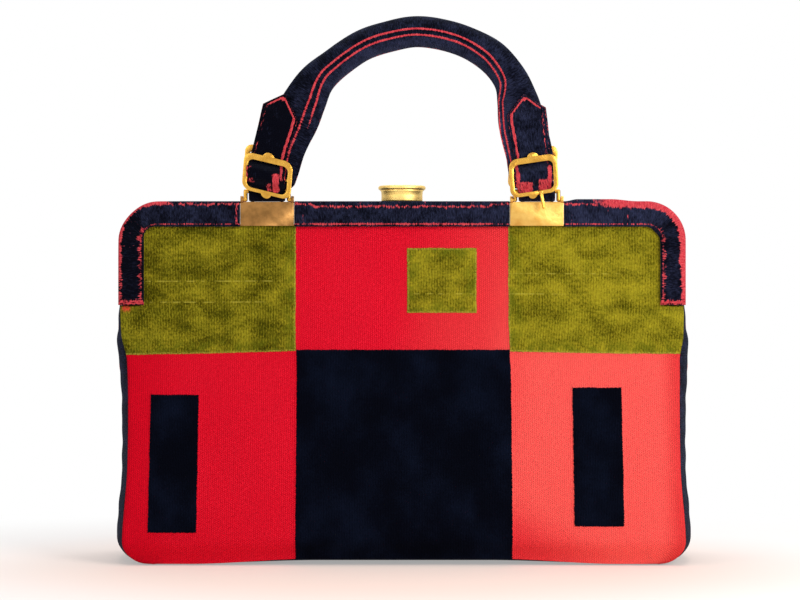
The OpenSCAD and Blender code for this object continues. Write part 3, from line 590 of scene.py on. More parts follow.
sway = calc("MULTIPLY", noise(cloth, 60, 2.0), 5.0)
rib = ribs(across, RIB_PITCH, sway)
ground_rib = ribs(across, GROUND_PITCH, sway)
weft = ribs(calc("MULTIPLY_ADD", across, 0.6, along), WEFT_PITCH, sway)
weave = calc("MULTIPLY", ground_rib, weft)
ground_tone = calc("MULTIPLY_ADD", weave, 0.45, calc("MULTIPLY", noise(cloth, 900, 2), 0.5))
ground_share = ramp(ground_tone, 0.15, 0.62)
soft_cloud = noise(cloth, 22, 3.0)
ground = tint(ground_share, DEEP_RED, GROUND_RED)
ground = tint(ramp(soft_cloud, 0.35, 0.75, 0.0, 0.22), ground, DEEP_RED)
# Painted shade: the red ground darkens towards the left, away from the key light, and more at the left edge
# where the panel turns away
ground = tint(ramp(across, -0.02, -0.10, 0.0, 0.22), ground, DEEP_RED)
ground = tint(ramp(across, -0.112, -0.145, 0.0, 0.8), ground, DEEP_RED)
# Painted light: towards the right and lower down, the red ground is mixed to its lit copies, standing in for
# the key light's glow and haze
key_light_reach = calc("MULTIPLY_ADD", calc("SUBTRACT", along, 0.1), -0.3, across)
key_light_reach = calc("SUBTRACT", key_light_reach, ramp(along, 0.045, 0.0, 0.0, 0.07))
key_light_reach = calc("MULTIPLY_ADD", centred(soft_cloud), 0.03, key_light_reach)
painted_key_light = calc("ADD", ramp(key_light_reach, -0.02, 0.04, 0.0, 0.34), ramp(key_light_reach, 0.03, 0.078, 0.0, 0.66))
ground = tint(painted_key_light, ground, tint(ground_share, PAINTED_LIT_DEEP, PAINTED_LIT_RED))
# Painted shade: the red ground darkens at the right edge, where the panel turns away
ground = tint(ramp(across, 0.134, 0.147, 0.0, 0.6), ground, DEEP_RED)

crush = noise(stretched(cloth, 1.0, 1.4), 62, 3.0, 0.55)
speck = noise(stretched(cloth, 1.0, 0.6), 1100, 3.0, 0.75)
olive_tone = calc("ADD", crush, calc("MULTIPLY", speck, 1.25))
olive_tone = calc("MULTIPLY_ADD", rib, 0.30, olive_tone)
# Painted shade: the olive pile darkens towards the left, away from the key light
olive_tone = calc("ADD", olive_tone, ramp(across, -0.10, 0.02, -0.10, 0.02))
olive_pile = tint(ramp(olive_tone, 0.88, 1.68), OLIVE_DARK, OLIVE_LIGHT)
green_edge = ramp(olive_distance, -0.010, 0.0, 0.12, 0.75)
green_edge = calc("MULTIPLY", green_edge, ramp(noise(cloth, 180, 2.0), 0.36, 0.62))
olive_pile = tint(green_edge, olive_pile, tint(speck, OLIVE_DARK, OLIVE_GREEN))
broken = ramp(noise(cloth, 300, 1.0), 0.42, 0.6)
for height, begin, finish in PULLED_THREADS:
    off = calc("ABSOLUTE", calc("SUBTRACT", along, height))
    begun = ramp(across, begin, begin + 0.01)
    inside = calc("MULTIPLY", begun, ramp(across, finish, finish - 0.01))
    thread = calc("MULTIPLY", calc("MULTIPLY", ramp(off, 0.0005, 0.0001), inside), broken)
    olive_pile = tint(calc("MULTIPLY", thread, 0.55), olive_pile, OLIVE_FRINGE)
fringe = ramp(olive_distance, -0.0013, -0.0003)
fringe = calc("MULTIPLY", fringe, ramp(noise(cloth, 1500, 1.0), 0.35, 0.6))
olive_pile = tint(calc("MULTIPLY", fringe, 0.7), olive_pile, OLIVE_FRINGE)

navy_cloud = noise(stretched(cloth, 1.0, 0.8), 34, 3.0, 0.55)
navy_tone = calc("MULTIPLY_ADD", speck, 0.35, navy_cloud)
navy_tone = calc("MULTIPLY_ADD", rib, 0.06, navy_tone)
navy_pile = tint(ramp(navy_tone, 0.58, 1.0), PANEL_NAVY, PANEL_BLUE)

# Pile worn off at the upper left seam, below the frame
worn_spots = ramp(calc("ABSOLUTE", calc("SUBTRACT", across, -0.1476)), 0.0032, 0.0010)
worn_spots = calc("MULTIPLY", worn_spots, ramp(along, 0.1318, 0.1345))
worn_spots = calc("MULTIPLY", worn_spots, ramp(speck, 0.40, 0.52, 0.0, 0.8))

colour = tint(olive, ground, olive_pile)
colour = tint(navy, colour, navy_pile)
feed(shader.inputs["Base Color"], tint(worn_spots, colour, GROUND_RED))
pile_height = calc("MULTIPLY_ADD", rib, 0.5, calc("MULTIPLY", speck, 1.6))
piled = calc("MAXIMUM", olive, navy)
raise_bumps(shader, tint(piled, calc("MULTIPLY", weave, 0.8), pile_height), 0.0005)

for side, node, body in ((-1, "front_panel", "front_frame"), (1, "back_panel", "back_frame")):
    panel = panel_surface(node + "_velvet", side)
    panel.data.materials.append(figured_velvet)
    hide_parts(node)
    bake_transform(panel)


# Gusset: one strip of navy velvet down a side, along the bottom and up the other side, padded so that it
# swells past the seams, with the red ground worn through along its crest. Above the hinges it folds in.
GUSSET_SWELL = 0.0062
SWELL_TOP = 0.0024
FOLD_IN = 0.008
LAP = CLOTH_T + SOFT_GAP


def gusset_stations():
    """Places down one side and to the middle of the bottom: seam half-width, height, way out across and
    down, swell and half-depth. Above the legs' ends the swell is a fold inwards."""
    web = np.linspace(rail_edge - 0.002, leg_end + 0.0014, 30)
    side = np.linspace(leg_end - 0.0002, CORNER_R, 90)
    turn = np.radians(np.linspace(4, 86, 16))
    arc = CORNER_R * (1 - np.sin(turn))
    arc_half = side_half(arc) - CORNER_R * (1 - np.cos(turn))
    floor_x = np.linspace(corner_half(0), 0.0008, 70)
    side_y = mix(seam_depth(side), tucked_y, shoulder_pull(side))
    level = np.concatenate([side, arc])
    swell = mix(GUSSET_SWELL, SWELL_TOP, np.clip(level / leg_end, 0, 1) ** 6)
    swell += 0.0010 * bell(level, 0.108, 0.012) + 0.0004 * blur(-level, -0.042, -0.026)
    swell -= 0.0012 * blur(level, 0.110, 0.124) + 0.0003 * bell(level, 0.062, 0.03)
    return np.concatenate([
        joined(MOUTH_HALF - 0.0015, web, 1, 0, -FOLD_IN, tucked_y - LAP - SOFT_GAP),
        joined(side_half(side), side, 1, 0, swell[:len(side)], side_y - LAP),
        joined(arc_half, arc, np.cos(turn), np.sin(turn), swell[len(side):], seam_depth(arc) - LAP),
        joined(floor_x, 0, 0, 1, 0, seam_depth(0.0) - LAP),
    ])


def gusset_half(name, side):
    """Front (-1) or back (1) half of the gusset: its section is an arch on the sides, flat on the floor."""
    places = gusset_stations()
    both = np.concatenate([places, places[::-1]])[:, :, None]
    half_w, height, out, down, swell, depth = both.transpose(1, 0, 2)
    mirror = np.where(np.arange(2 * len(places)) < len(places), -1.0, 1.0)[:, None]
    v = np.linspace(0, 1, 22)[None, :] ** 0.85
    arch = np.where(swell < 0, 1 - v, 1 - v * v)
    flat = 1 - smooth((v - 0.75) / 0.25)
    ripple = 0.00025 * np.sin(height * 410 + 3 * v) * np.sin(height * 97 + side) * (swell > 0)
    x = mirror * (half_w + out * (swell + ripple) * arch)
    z = cloth_height(x, height) - seam_rise(x) * flat * down
    points = joined(x + sideways(z), side * v * depth, z)
    uv = joined(path_run(points[:, 0])[:, None], v * depth)
    crest = 0.95 * bell(v * depth, 0, 0.0022) * (swell > 0) * blur(height, 0.004, 0.03)
    half = surface(name, points, uv, flip=side < 0, marks={"worn": crest, "blue": 0.15})
    thicken(half, CLOTH_T)
    return half


TRIM_NAVY = (0.0012, 0.0013, 0.0038)
TRIM_BLUE = (0.0230, 0.0280, 0.0640)
TRIM_DEEP = (0.40, 0.018, 0.032)
TRIM_RED = (0.58, 0.070, 0.080)
TRIM_PITCH = 0.0009
STREAK_SQUEEZE = 0.28


def trim_finish(name, threads):
    """Navy velvet of the trimmings: a worn attribute bares the red ground through streaks along the
    threads (0 across the strip, 1 along it), and a blue attribute lightens the pile."""
    finish, tree, shader = new_finish(name, 0.85)
    soften_velvet(shader, 0.06, (0.6, 0.7, 1.0))
    cloth = cloth_place(tree)
    across = axes(cloth)[0]
    worn = mark_value(tree, "worn")
    squeeze = (STREAK_SQUEEZE, 1.0) if threads else (1.0, STREAK_SQUEEZE)
    streak = noise(stretched(cloth, *squeeze), 1500, 3.0, 0.6)
    cloud = noise(cloth, 130, 3.0, 0.6)
    frayed = calc("MULTIPLY_ADD", centred(streak), 1.5, worn)
    frayed = calc("MULTIPLY_ADD", centred(cloud), 0.5, frayed)
    bare = calc("MULTIPLY", ramp(frayed, 0.42, 0.66), ramp(worn, 0.06, 0.28))
    tone = calc("MULTIPLY_ADD", centred(cloud), 1.2, mark_value(tree, "blue"))
    tone = calc("MULTIPLY_ADD", centred(streak), 1.5, tone)
    pile = tint(ramp(tone, -0.15, 0.95), TRIM_NAVY, TRIM_BLUE)
    red = tint(ramp(streak, 0.3, 0.7), TRIM_DEEP, TRIM_RED)
    feed(shader.inputs["Base Color"], tint(bare, pile, red))
    height = calc("MULTIPLY_ADD", ribs(across, TRIM_PITCH), 0.4, streak)
    raise_bumps(shader, height, 0.0004)
    return finish


trim_velvet = trim_finish("trim_velvet", False)
for side, name, body in ((-1, "gusset_front", "front_frame"), (1, "gusset_back", "back_frame")):
    half = gusset_half(name, side)
    half.data.materials.append(trim_velvet)
    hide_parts("gusset")
    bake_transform(half)


# Lining: an inner bag of plain twill, open at the top, sewn in two halves.
LINING_T = 0.0008
LINING_FLOOR = BOTTOM_BOW + BOTTOM_SWELL + 0.0050
LINING_BEND = leg_end - 0.042
LINING_NARROW = leg_end - 0.010
LINING_MOUTH = MOUTH_HALF - 0.0183
LINING_IN = 0.0042
OVAL_POWER = 0.35
TWILL_PITCH = 0.0009
TWILL_DARK = (0.085, 0.075, 0.062)
TWILL_LIGHT = (0.14, 0.125, 0.105)


def lining_half(name, side):
    """Half of the inner bag: from the middle of its floor out to the wall and up, round a flattened oval."""
    wall = np.linspace(LINING_FLOOR + 0.001, rail_edge - 0.0006, 60)
    levels = np.concatenate([np.full(6, LINING_FLOOR), wall])
    share = np.concatenate([np.linspace(0, 0.99, 6), np.ones(60)])[:, None]
    turn = np.linspace(0, math.pi, 90)[None, :]
    z = levels[:, None]
    half_w = mix(corner_half(z) - LINING_IN, LINING_MOUTH, blur(z, LINING_BEND, LINING_NARROW))
    flat_z = z - (BOTTOM_BOW + BOTTOM_SWELL) * np.clip(1 - z / rail_edge, 0, 1)
    half_d = np.minimum(seam_depth(z), seam_depth(flat_z)) - LAP - 0.0002
    ripple = 1 - 0.02 * np.sin(turn * 23 + z * 60) * blur(z, 0.03, 0.08)
    x = np.sign(np.cos(turn)) * np.abs(np.cos(turn)) ** OVAL_POWER * half_w * share
    y = side * np.sin(turn) ** OVAL_POWER * half_d * share * ripple
    half = surface(name, joined(x, y, z), joined(x, z), flip=side < 0)
    thicken(half, LINING_T)
    return half


lining_twill, tree, shader = new_finish("lining_twill", 0.8)
cloth = cloth_place(tree)
twill = ribs(calc("ADD", *axes(cloth)), TWILL_PITCH)
twill = calc("MULTIPLY_ADD", noise(cloth, 1200, 2.0), 0.5, calc("MULTIPLY", twill, 0.5))
feed(shader.inputs["Base Color"], tint(twill, TWILL_DARK, TWILL_LIGHT))
raise_bumps(shader, twill, 0.0002)
for side, name, body in ((-1, "lining_front", "front_frame"), (1, "lining_back", "back_frame")):
    half = lining_half(name, side)
    half.data.materials.append(lining_twill)
    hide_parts("lining")
    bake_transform(half)


# Frame covers: navy velvet glued round each half of the metal frame, padded a little in front, turned
# over the lower edge, and cut to butt against the brass plates. The pile is rubbed off on the edges.
CORNER_OUT = 0.021
EDGE_ROUND = 0.0022
LIP_ROUND = 0.0013
PUFF = 0.0005
CUT_R = 0.0016
CUT_DEPTH = 0.0011
RAIL_HALF = frame_half_w - CORNER_OUT
ARC = CORNER_OUT * math.pi / 2
PATH_HALF = RAIL_HALF + ARC + frame_top - CORNER_OUT - leg_end
PLATE_X = (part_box("right_plate")[0].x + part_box("right_plate")[1].x) / 2
PLATE_HALF = (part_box("right_plate")[1].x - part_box("right_plate")[0].x) / 2
RAIL_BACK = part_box("back_cover")[0].y
# How far the leg ends clear one another when both halves of the frame are wide open
OPEN_SLOPE = math.tan(math.radians(32))
hinge_z = (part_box("hinge_rivet_left")[0].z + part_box("hinge_rivet_left")[1].z) / 2
# Creases of the front covers, from the outer edge inwards
CREASES = [
    ((-0.1455, 0.1825), (-0.1386, 0.1763)),
    ((-0.1472, 0.1763), (-0.1406, 0.1722)),
    ((-0.1488, 0.1686), (-0.1399, 0.1661)),
    ((0.1493, 0.1712), (0.1398, 0.1710)),
]
# Rubbed boxes of the front covers: the lower left and upper right corners, and how far they are worn
RUBBED = [
    ((0.1205, 0.1795), (0.1214, 0.1850), 0.75),
    ((0.1100, 0.1860), (0.1108, 0.1905), 0.6),
    ((0.0905, 0.1800), (0.0913, 0.1900), 0.42),
    ((-0.0534, 0.1800), (-0.0524, 0.1895), 0.40),
    ((0.0536, 0.1800), (0.0544, 0.1895), 0.34),
    ((-0.0890, 0.1792), (-0.0881, 0.1905), 0.95),
]


def frame_edge(s):
    """Outer edge of the frame at a length from the middle of its rail, and the way in from it: a straight,
    a quarter circle and a leg. Negative lengths are on the left."""
    far = np.abs(s)
    turn = np.clip((far - RAIL_HALF) / CORNER_OUT, 0, math.pi / 2)
    x = np.minimum(far, RAIL_HALF) + CORNER_OUT * np.sin(turn)
    z = frame_top - CORNER_OUT * (1 - np.cos(turn)) - np.clip(far - RAIL_HALF - ARC, 0, None)
    return np.sign(s) * x, z, -np.sign(s) * np.sin(turn), -np.cos(turn)


def cover_profile():
    """Section of a cover as distance in from the outer edge and depth: up the outer side, round the
    front edge, across the padded front, round the lower edge and back under it."""
    turn = np.linspace(0, math.pi / 2, 8)
    front = np.linspace(EDGE_ROUND, BAND_W - LIP_ROUND, 34)[1:-1]
    puff = PUFF * np.sin(math.pi * (front - EDGE_ROUND) / (BAND_W - EDGE_ROUND - LIP_ROUND)) ** 0.7
    inward = np.concatenate([
        np.zeros(7),
        EDGE_ROUND * (1 - np.cos(turn)),
        front,
        BAND_W - LIP_ROUND * (1 - np.sin(turn)),
        np.full(3, BAND_W),
    ])
    depth = np.concatenate([
        np.linspace(RAIL_BACK, half_depth - EDGE_ROUND - 0.0003, 7),
        half_depth - EDGE_ROUND * (1 - np.sin(turn)),
        half_depth + puff,
        half_depth - LIP_ROUND * (1 - np.cos(turn)),
        half_depth - np.linspace(LIP_ROUND + 0.0003, 2 * COVER_T, 3),
    ])
    return inward, depth


def patch(x, z, low, high, soft=0.0005):
    """1 inside an upright box of the front view, falling to 0 outside it."""
    inside = blur(x, low[0] - soft, low[0] + soft) * blur(high[0] - x, -soft, soft)
    return inside * blur(z, low[1] - soft, low[1] + soft) * blur(high[1] - z, -soft, soft)


def segment_distance(x, z, start, end):
    """Distance from points of the front view to a straight crease."""
    way = np.subtract(end, start)
    t = np.clip(((x - start[0]) * way[0] + (z - start[1]) * way[1]) / np.dot(way, way), 0, 1)
    return np.hypot(x - start[0] - t * way[0], z - start[1] - t * way[1])


def cover_wear(s, inward, section, depth):
    """Wear of a cover: along its outer edge, most at the corners, in a line below it, in lines along the
    lower edge and inside the legs, and at the leg ends. The sines make it come and go."""
    outer = 0.5 + 0.5 * np.sin(s * 900) * np.sin(s * 353)
    ragged = 0.0005 * np.sin(s * 1130 + 3 * np.sin(s * 210)) * np.sin(s * 471)
    left, right = blur(-s, 0.120, 0.133), blur(s, 0.100, 0.114)
    leg = blur(np.abs(s), PATH_HALF - 0.026, PATH_HALF - 0.014)
    welt = np.maximum(left * (1 - 0.5 * leg), right * (1 - 0.25 * leg))
    welt_w = 0.0013 + 0.0011 * right * (1 - 0.5 * leg) - 0.0002 * left + 0.8 * ragged
    near_front = blur(depth, half_depth - 0.0036, half_depth - 0.0016)
    edge = (0.35 * outer + 0.85 * welt) * (1 - blur(inward, 0.7 * welt_w, 2 * welt_w + 0.0008))
    edge = edge * mix(0.22 + 0.16 * outer, 1, near_front)
    centre = blur(np.abs(s), 0.050, 0.046)
    top_line = (0.46 + 0.24 * outer) * bell(inward, mix(0.0016, 0.0030, centre) + ragged, 0.0010)
    leg_line = 0.58 * bell(inward, 0.0117 + ragged, 0.0013) * (0.55 + 0.45 * outer) * leg_share(s)
    low_line = (0.42 + 0.26 * outer + 0.14 * centre) * bell(inward, BAND_W - 0.0013, 0.0006 + 0.0002 * centre)
    fringe = 0.0006 * np.sin(section * 3900 + 2 * np.sin(section * 1500))
    leg_tip = (0.62 + 0.2 * outer) * bell(PATH_HALF - np.abs(s), 0.0014 + fringe, 0.0017)
    return np.maximum.reduce(np.broadcast_arrays(edge, top_line, leg_line, low_line, leg_tip))


def leg_share(s):
    """1 down the legs of the frame, falling to 0 round its corners."""
    return blur(np.abs(s), PATH_HALF - 0.058, PATH_HALF - 0.046)


def frame_cover(name, side, start, end):
    """Cover from one length along the frame to another; the band narrows in its left inner corner and
    widens in the right one."""
    s = np.linspace(start, end, int((end - start) / 0.0008))[:, None]
    edge_x, edge_z, in_x, in_z = frame_edge(s)
    section, section_depth = cover_profile()
    corner = bell(np.abs(s), RAIL_HALF + ARC / 2, 0.011)
    inward = section * (1 + np.where(s < 0, -0.11, 0.075) * corner * (section > EDGE_ROUND))
    padded = blur(s, 0.087, 0.094) * blur(-s, -0.126, -0.112) * (1 - blur(section, 0.002, 0.007))
    inward = inward + 0.0008 * corner * (s < 0) - 0.0011 * padded
    x = edge_x + in_x * inward
    z = edge_z + in_z * inward
    front = blur(section_depth, half_depth - 0.0012, half_depth - 0.0002)
    rolled = CUT_DEPTH * rounded(np.minimum(s - start, end - s), CUT_R)
    wave = 0.00016 * np.sin(s * 173 + 2 * np.sin(s * 61)) * np.sin(section * 420)
    depth = section_depth + (wave - rolled) * front
    depth = np.maximum(depth, SOFT_GAP + OPEN_SLOPE * np.clip(hinge_z - z, 0, None))
    worn = cover_wear(s, inward, section, section_depth)
    if side < 0:
        for first, last in CREASES:
            off = segment_distance(x, z, first, last)
            tip_off = np.hypot(x - last[0], z - last[1])
            depth = depth - 0.0006 * bell(off, 0, 0.00055) * front
            worn = np.maximum(worn, 0.30 * bell(off, 0.0007, 0.0005) * front)
            worn = np.maximum(worn, 0.72 * bell(tip_off, 0.0, 0.0017) * front)
        for low, high, share in RUBBED:
            worn = np.maximum(worn, share * patch(x, z, low, high) * front)
    blue = 0.20 + 0.20 * blur(s, -0.05, 0.14) - 0.28 * leg_share(s)
    marks = {"worn": worn, "blue": blue}
    cover = surface(name, joined(x, side * depth, z), joined(s, section), flip=side > 0, marks=marks)
    thicken(cover, COVER_T - 0.0001)
    cover.data.materials.append(trim_velvet)
    return cover


PLATE_OUT = PLATE_X + PLATE_HALF + SOFT_GAP
PLATE_IN = PLATE_X - PLATE_HALF - SOFT_GAP
for node, start, end in (
        ("front_cover_left", -PATH_HALF, -PLATE_OUT),
        ("front_cover_centre", -PLATE_IN, PLATE_IN),
        ("front_cover_right", PLATE_OUT, PATH_HALF)):
    cover = frame_cover(node + "_velvet", -1, start, end)
    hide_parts(node)
    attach(cover, "front_frame")
cover = frame_cover("back_cover_velvet", 1, -PATH_HALF, PATH_HALF)
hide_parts("back_cover")
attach(cover, "back_frame")


# Handle: a padded roll of the same velvet on its own arch, flattened into the straps at both ends. Its
# long edges meet in a butt seam on the front, with the red ground showing along both of them.
STRAP_W = 0.0194
STRAP_T = 0.0018
STRAP_L = 0.051
TIP_L = 0.009
ROLL_R = 0.0083
ROLL_END_HALF = 0.0125
SWELL_START = 0.035
FILL_L = 0.018
BAIL_D = 0.0022
FOLD_R = BAIL_D / 2 + SOFT_GAP
FULL_GAP = ROLL_R - STRAP_T
bail_low, bail_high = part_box("left_bail")
bail_z = bail_high.z - BAIL_D / 2
pivot_y = -(bail_low.y + bail_high.y) / 2
handle_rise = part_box("handle_roll")[1].z - ROLL_R - bail_z
# Points of the arch, as shares of the way out to a plate and of the handle's rise
HANDLE_PATH = np.array([
    (-0.985, 0.03), (-0.94, 0.14), (-0.89, 0.27), (-0.815, 0.4), (-0.715, 0.57), (-0.58, 0.735),
    (-0.305, 0.91), (-0.055, 0.983), (0.166, 1.0), (0.416, 0.957), (0.638, 0.856),
    (0.79, 0.714), (0.855, 0.57), (0.9, 0.4), (0.935, 0.27), (0.96, 0.14), (0.985, 0.03),
])
# The seam's place as a share of the roll's width from its inner edge, against the share of its length
SEAM_SHARES = [0, 0.06, 0.15, 0.215, 0.28, 0.36, 0.5, 0.62, 0.685, 0.745, 0.80, 0.87, 1]
SEAM_PLACES = [0.15, 0.22, 0.28, 0.32, 0.46, 0.47, 0.46, 0.44, 0.39, 0.28, 0.08, 0.05, 0.05]


def leaf_gap(h):
    """Half the gap between a strap's leaves at a height above the bail."""
    return mix(FOLD_R, FULL_GAP, smooth((h - SWELL_START) / (STRAP_L - SWELL_START)))


def handle_line(count):
    """Middle line of the handle: a Catmull-Rom curve through the path's points, in metres."""
    path = HANDLE_PATH * (PLATE_X, handle_rise)
    path = np.concatenate([path[:1], path, path[-1:]])
    place = np.linspace(0, len(HANDLE_PATH) - 1.0001, count)
    i = place.astype(int)
    t = (place - i)[:, None]
    a, b, c, d = path[i], path[i + 1], path[i + 2], path[i + 3]
    return 0.5 * (2 * b + (c - a) * t + (2 * a - 5 * b + 4 * c - d) * t**2 + (3 * b - a - 3 * c + d) * t**3)


def handle_roll(name):
    """Roll swept along the arch: its section is an oval, flat at the ends, notched along the butt seam."""
    line = handle_line(300)
    way = np.gradient(line, axis=0)
    way /= np.linalg.norm(way, axis=1)[:, None]
    run = path_run(line)[:, None]
    share = run / run[-1]
    h = line[:, 1:2]
    half_t = np.minimum(ROLL_R, leaf_gap(h) - SOFT_GAP + 0.2 * np.clip(h - STRAP_L, 0, None))
    flat = mix(STRAP_W / 2, ROLL_END_HALF, smooth((h - 0.002) / 0.006))
    half_w = mix(flat, ROLL_R, smooth((h - SWELL_START) / (STRAP_L - SWELL_START + FILL_L)))
    seam_turn = -np.arccos(1 - 2 * np.interp(share, SEAM_SHARES, SEAM_PLACES))
    q = np.linspace(-1, 1, 129)[None, :-1]
    past_seam = np.sign(q) * np.abs(q) ** 1.7 * math.pi
    turn = seam_turn + past_seam
    off = past_seam * ROLL_R
    closed = mix(0.35, 1.0, blur(share, 0.16, 0.24)) * mix(1, 0.25, blur(share, 0.90, 0.97))
    notch = 0.00035 * (bell(off, -0.0016, 0.0008) + bell(off, 0.0016, 0.0008)) - 0.0010 * bell(off, 0, 0.0007)
    crush = 0.00022 * np.sin(run * 160 + 2 * np.sin(turn * 2)) * np.sin(turn * 3 + run * 40)
    grown = 1 + (notch * closed + crush) / ROLL_R
    fuller = 0.0013 * bell(share, 0.24, 0.07) + 0.0015 * bell(share, 0.70, 0.05)
    across = np.cos(turn) * (half_w + fuller * np.clip(-np.cos(turn), 0, 1)) * grown
    x = line[:, 0:1] + way[:, 1:2] * across
    y = np.sin(turn) * half_t * grown - pivot_y
    z = bail_z + np.maximum(h - way[:, 0:1] * across, FOLD_R)
    girth = np.concatenate([off, off[:, :1] + 2 * math.pi * ROLL_R], 1)
    edge = np.maximum(bell(off, -0.0016, 0.00055), bell(off, 0.0016, 0.00055)) * mix(0.55, 1.15, closed)
    edge = edge * mix(1, 0.35, blur(share, 0.93, 0.98))
    edge = edge * np.where(off > 0, mix(0.1, 1, blur(share, 0.12, 0.20)), 1)
    fold = 0.45 * bell(np.cos(turn), 1, 0.02) + 0.5 * bell(np.cos(turn), -1, 0.015) * blur(share, 0.8, 0.9)
    # Painted sheen: the blue mark lightens the pile on the underside of the roll, fading in from the left
    # end; it also rises a little towards the right end
    blue = 0.12 + 0.40 * blur(np.cos(turn), -0.1, 0.8) * blur(share, 0.1, 0.4) + 0.12 * blur(share, 0.6, 0.9)
    marks = {"worn": np.maximum(edge, fold), "blue": blue}
    return surface(name, joined(x, y, z), joined(run, girth), wrap=True, ends=True, marks=marks)


roll = handle_roll("handle_roll_velvet")
face_outwards(roll)
roll.data.materials.append(trim_velvet)
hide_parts("handle_roll")
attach(roll, "handle")


# Handle straps: each is one strip of velvet folded round its bail, with a pointed tip in front and
# behind, laid over the middle bars of two buckles. The turned edges show a red line just inside them.
TIP_BASE = STRAP_L - TIP_L
BACK_TIP_SHARE = 0.62
BLUNT = 0.07
BUCKLE_FRONT_H = 0.008
BUCKLE_BACK_H = 0.0132
FOLD_SAG = 1.15
BAR_SWELL = 0.0041
TURNED_R = 0.0016
TURNED_DEPTH = 0.0007


def over_bar(h, x, buckle_h, tilt):
    """Rise of the strap over a buckle's middle bar, flat on the bar and smooth beside it."""
    off = np.abs(h - buckle_h + x * math.tan(tilt))
    return BAR_SWELL * smooth((0.007 - off) / 0.0055) * smooth((h + FOLD_R) / 0.004)


def strap_run(h, lean):
    """Sideways run of a strap at a height above the bail, from the height where its lean begins."""
    start, angle = lean
    return np.clip(h - start, 0, None) * math.tan(angle)


def strap(name, plate_x, lean, skew, nudge, tilt, outline, blue, rubbed):
    """Strip from the front tip down, round the bail and up to the back tip. lean is for its front and its
    back leaf, skew tips the front rows over towards the tip, and nudge centres it in its buckle. outline
    is the strength of the red line on the left and on the right edge, and rubbed lists worn boxes of the
    front leaf."""
    leaf = np.concatenate([np.linspace(STRAP_L, TIP_BASE, 34), np.linspace(TIP_BASE, -FOLD_R, 120)[1:]])
    bend = np.linspace(0, math.pi, 22)[1:-1]
    h = np.concatenate([leaf, np.full_like(bend, -FOLD_R), leaf[::-1]])[:, None]
    face = np.concatenate([-np.ones_like(leaf), np.zeros_like(bend), np.ones_like(leaf)])[:, None]
    turn = np.concatenate([np.zeros_like(leaf), bend, np.full_like(leaf, math.pi)])[:, None]
    front = face < 0
    c = np.sin(np.linspace(-1, 1, 61) * math.pi / 2)[None, :]
    tip_l = np.where(front, TIP_L, BACK_TIP_SHARE * TIP_L)
    tip = np.clip((STRAP_L - h) / tip_l, 0, 1) * (1 - BLUNT) + BLUNT
    across = c * STRAP_W / 2 * tip
    level = h + across * skew * blur(h, 0.008, 0.040) * front
    buckle_h = np.where(front, BUCKLE_FRONT_H, BUCKLE_BACK_H)
    in_window = smooth((0.009 - np.abs(h - buckle_h)) / 0.005) * front
    wide = 1 + 0.06 * in_window + 0.06 * blur(h, 0.02, 0.04) * front
    x = across * wide + nudge * in_window
    x = x + np.where(front, strap_run(level, lean[0]), strap_run(level, lean[1]))
    middle = np.where(front, strap_run(buckle_h, lean[0]), strap_run(buckle_h, lean[1]))
    edge = np.minimum((1 - np.abs(c)) * STRAP_W / 2 * tip, (STRAP_L - h) * 0.75 + 0.0002)
    out = STRAP_T - TURNED_DEPTH * rounded(edge, TURNED_R) + 0.00025 * bell(edge, 0.0018, 0.0007)
    gap = leaf_gap(level) + over_bar(level, x - middle, buckle_h, tilt) + out
    y = np.where(face == 0, -(FOLD_R + out) * np.cos(turn), face * gap)
    z = np.where(face == 0, -FOLD_R - (FOLD_R + out) * FOLD_SAG * np.sin(turn), level)
    z = z - 0.0009 * (1 + np.cos(turn)) / 2 * blur(-h, -0.003, 0.001)
    points = joined(plate_x + x, y - pivot_y, bail_z + z)
    run = path_run(points[:, c.size // 2])[:, None]
    line = np.where(c < 0, outline[0], outline[1]) * blur(h, -0.0005, 0.012)
    line = np.maximum(line, 0.9 * blur(h, TIP_BASE - 0.001, TIP_BASE + 0.002))
    worn = line * bell(edge, 0.0019, 0.00075) * (face != 0)
    worn = np.maximum(worn, 0.45 * bell(edge, 0.0, 0.0004))
    for low, high, share in rubbed:
        in_box = patch(points[..., 0], points[..., 2], low, high, 0.0010)
        worn = np.maximum(worn, share * in_box * front)
    marks = {"worn": worn, "blue": blue}
    piece = surface(name, points, joined(run, across), flip=True, marks=marks)
    thicken(piece, STRAP_T - 0.0001)
    return piece


LEFT_LEAN = ((0.016, math.radians(15.5)), (0.016, math.radians(13.5)))
RIGHT_LEAN = ((0.0, math.radians(-8)), (0.0, math.radians(-5.6)))
LEFT_TILT, RIGHT_TILT = math.radians(14), math.radians(-8.5)
# Worn boxes: the lower left and upper right corners, and how far they are worn
LEFT_RUBBED = [
    ((-0.0852, 0.2010), (-0.0820, 0.2105), 0.75),
    ((-0.0822, 0.2015), (-0.0785, 0.2045), 0.5),
    ((-0.0690, 0.1960), (-0.0655, 0.2062), 1.0),
    ((-0.0725, 0.1965), (-0.0694, 0.2020), 0.55),
    ((-0.0675, 0.1905), (-0.0655, 0.1950), 0.8),
    ((-0.0820, 0.1905), (-0.0808, 0.1960), 0.5),
]
RIGHT_RUBBED = [
    ((0.0606, 0.1955), (0.0628, 0.2075), 1.0),
    ((0.0776, 0.1960), (0.0797, 0.2110), 1.0),
    ((0.0628, 0.1952), (0.0700, 0.2020), 0.72),
    ((0.0726, 0.1960), (0.0780, 0.2035), 0.72),
    ((0.0700, 0.1952), (0.0726, 0.1972), 0.6),
]
strap_velvet = trim_finish("strap_velvet", True)
for node, plate, lean, skew, nudge, tilt, outline, blue, rubbed in (
        ("left_strap", -PLATE_X, LEFT_LEAN, -0.45, -0.0005, LEFT_TILT, (0.40, 1.15), -0.25, LEFT_RUBBED),
        ("right_strap", PLATE_X, RIGHT_LEAN, 0.19, -0.001, RIGHT_TILT, (1.05, 0.5), 0.22, RIGHT_RUBBED)):
    piece = strap(node + "_velvet", plate, lean, skew, nudge, tilt, outline, blue, rubbed)
    piece.data.materials.append(strap_velvet)
    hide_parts(node)
    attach(piece, "handle")
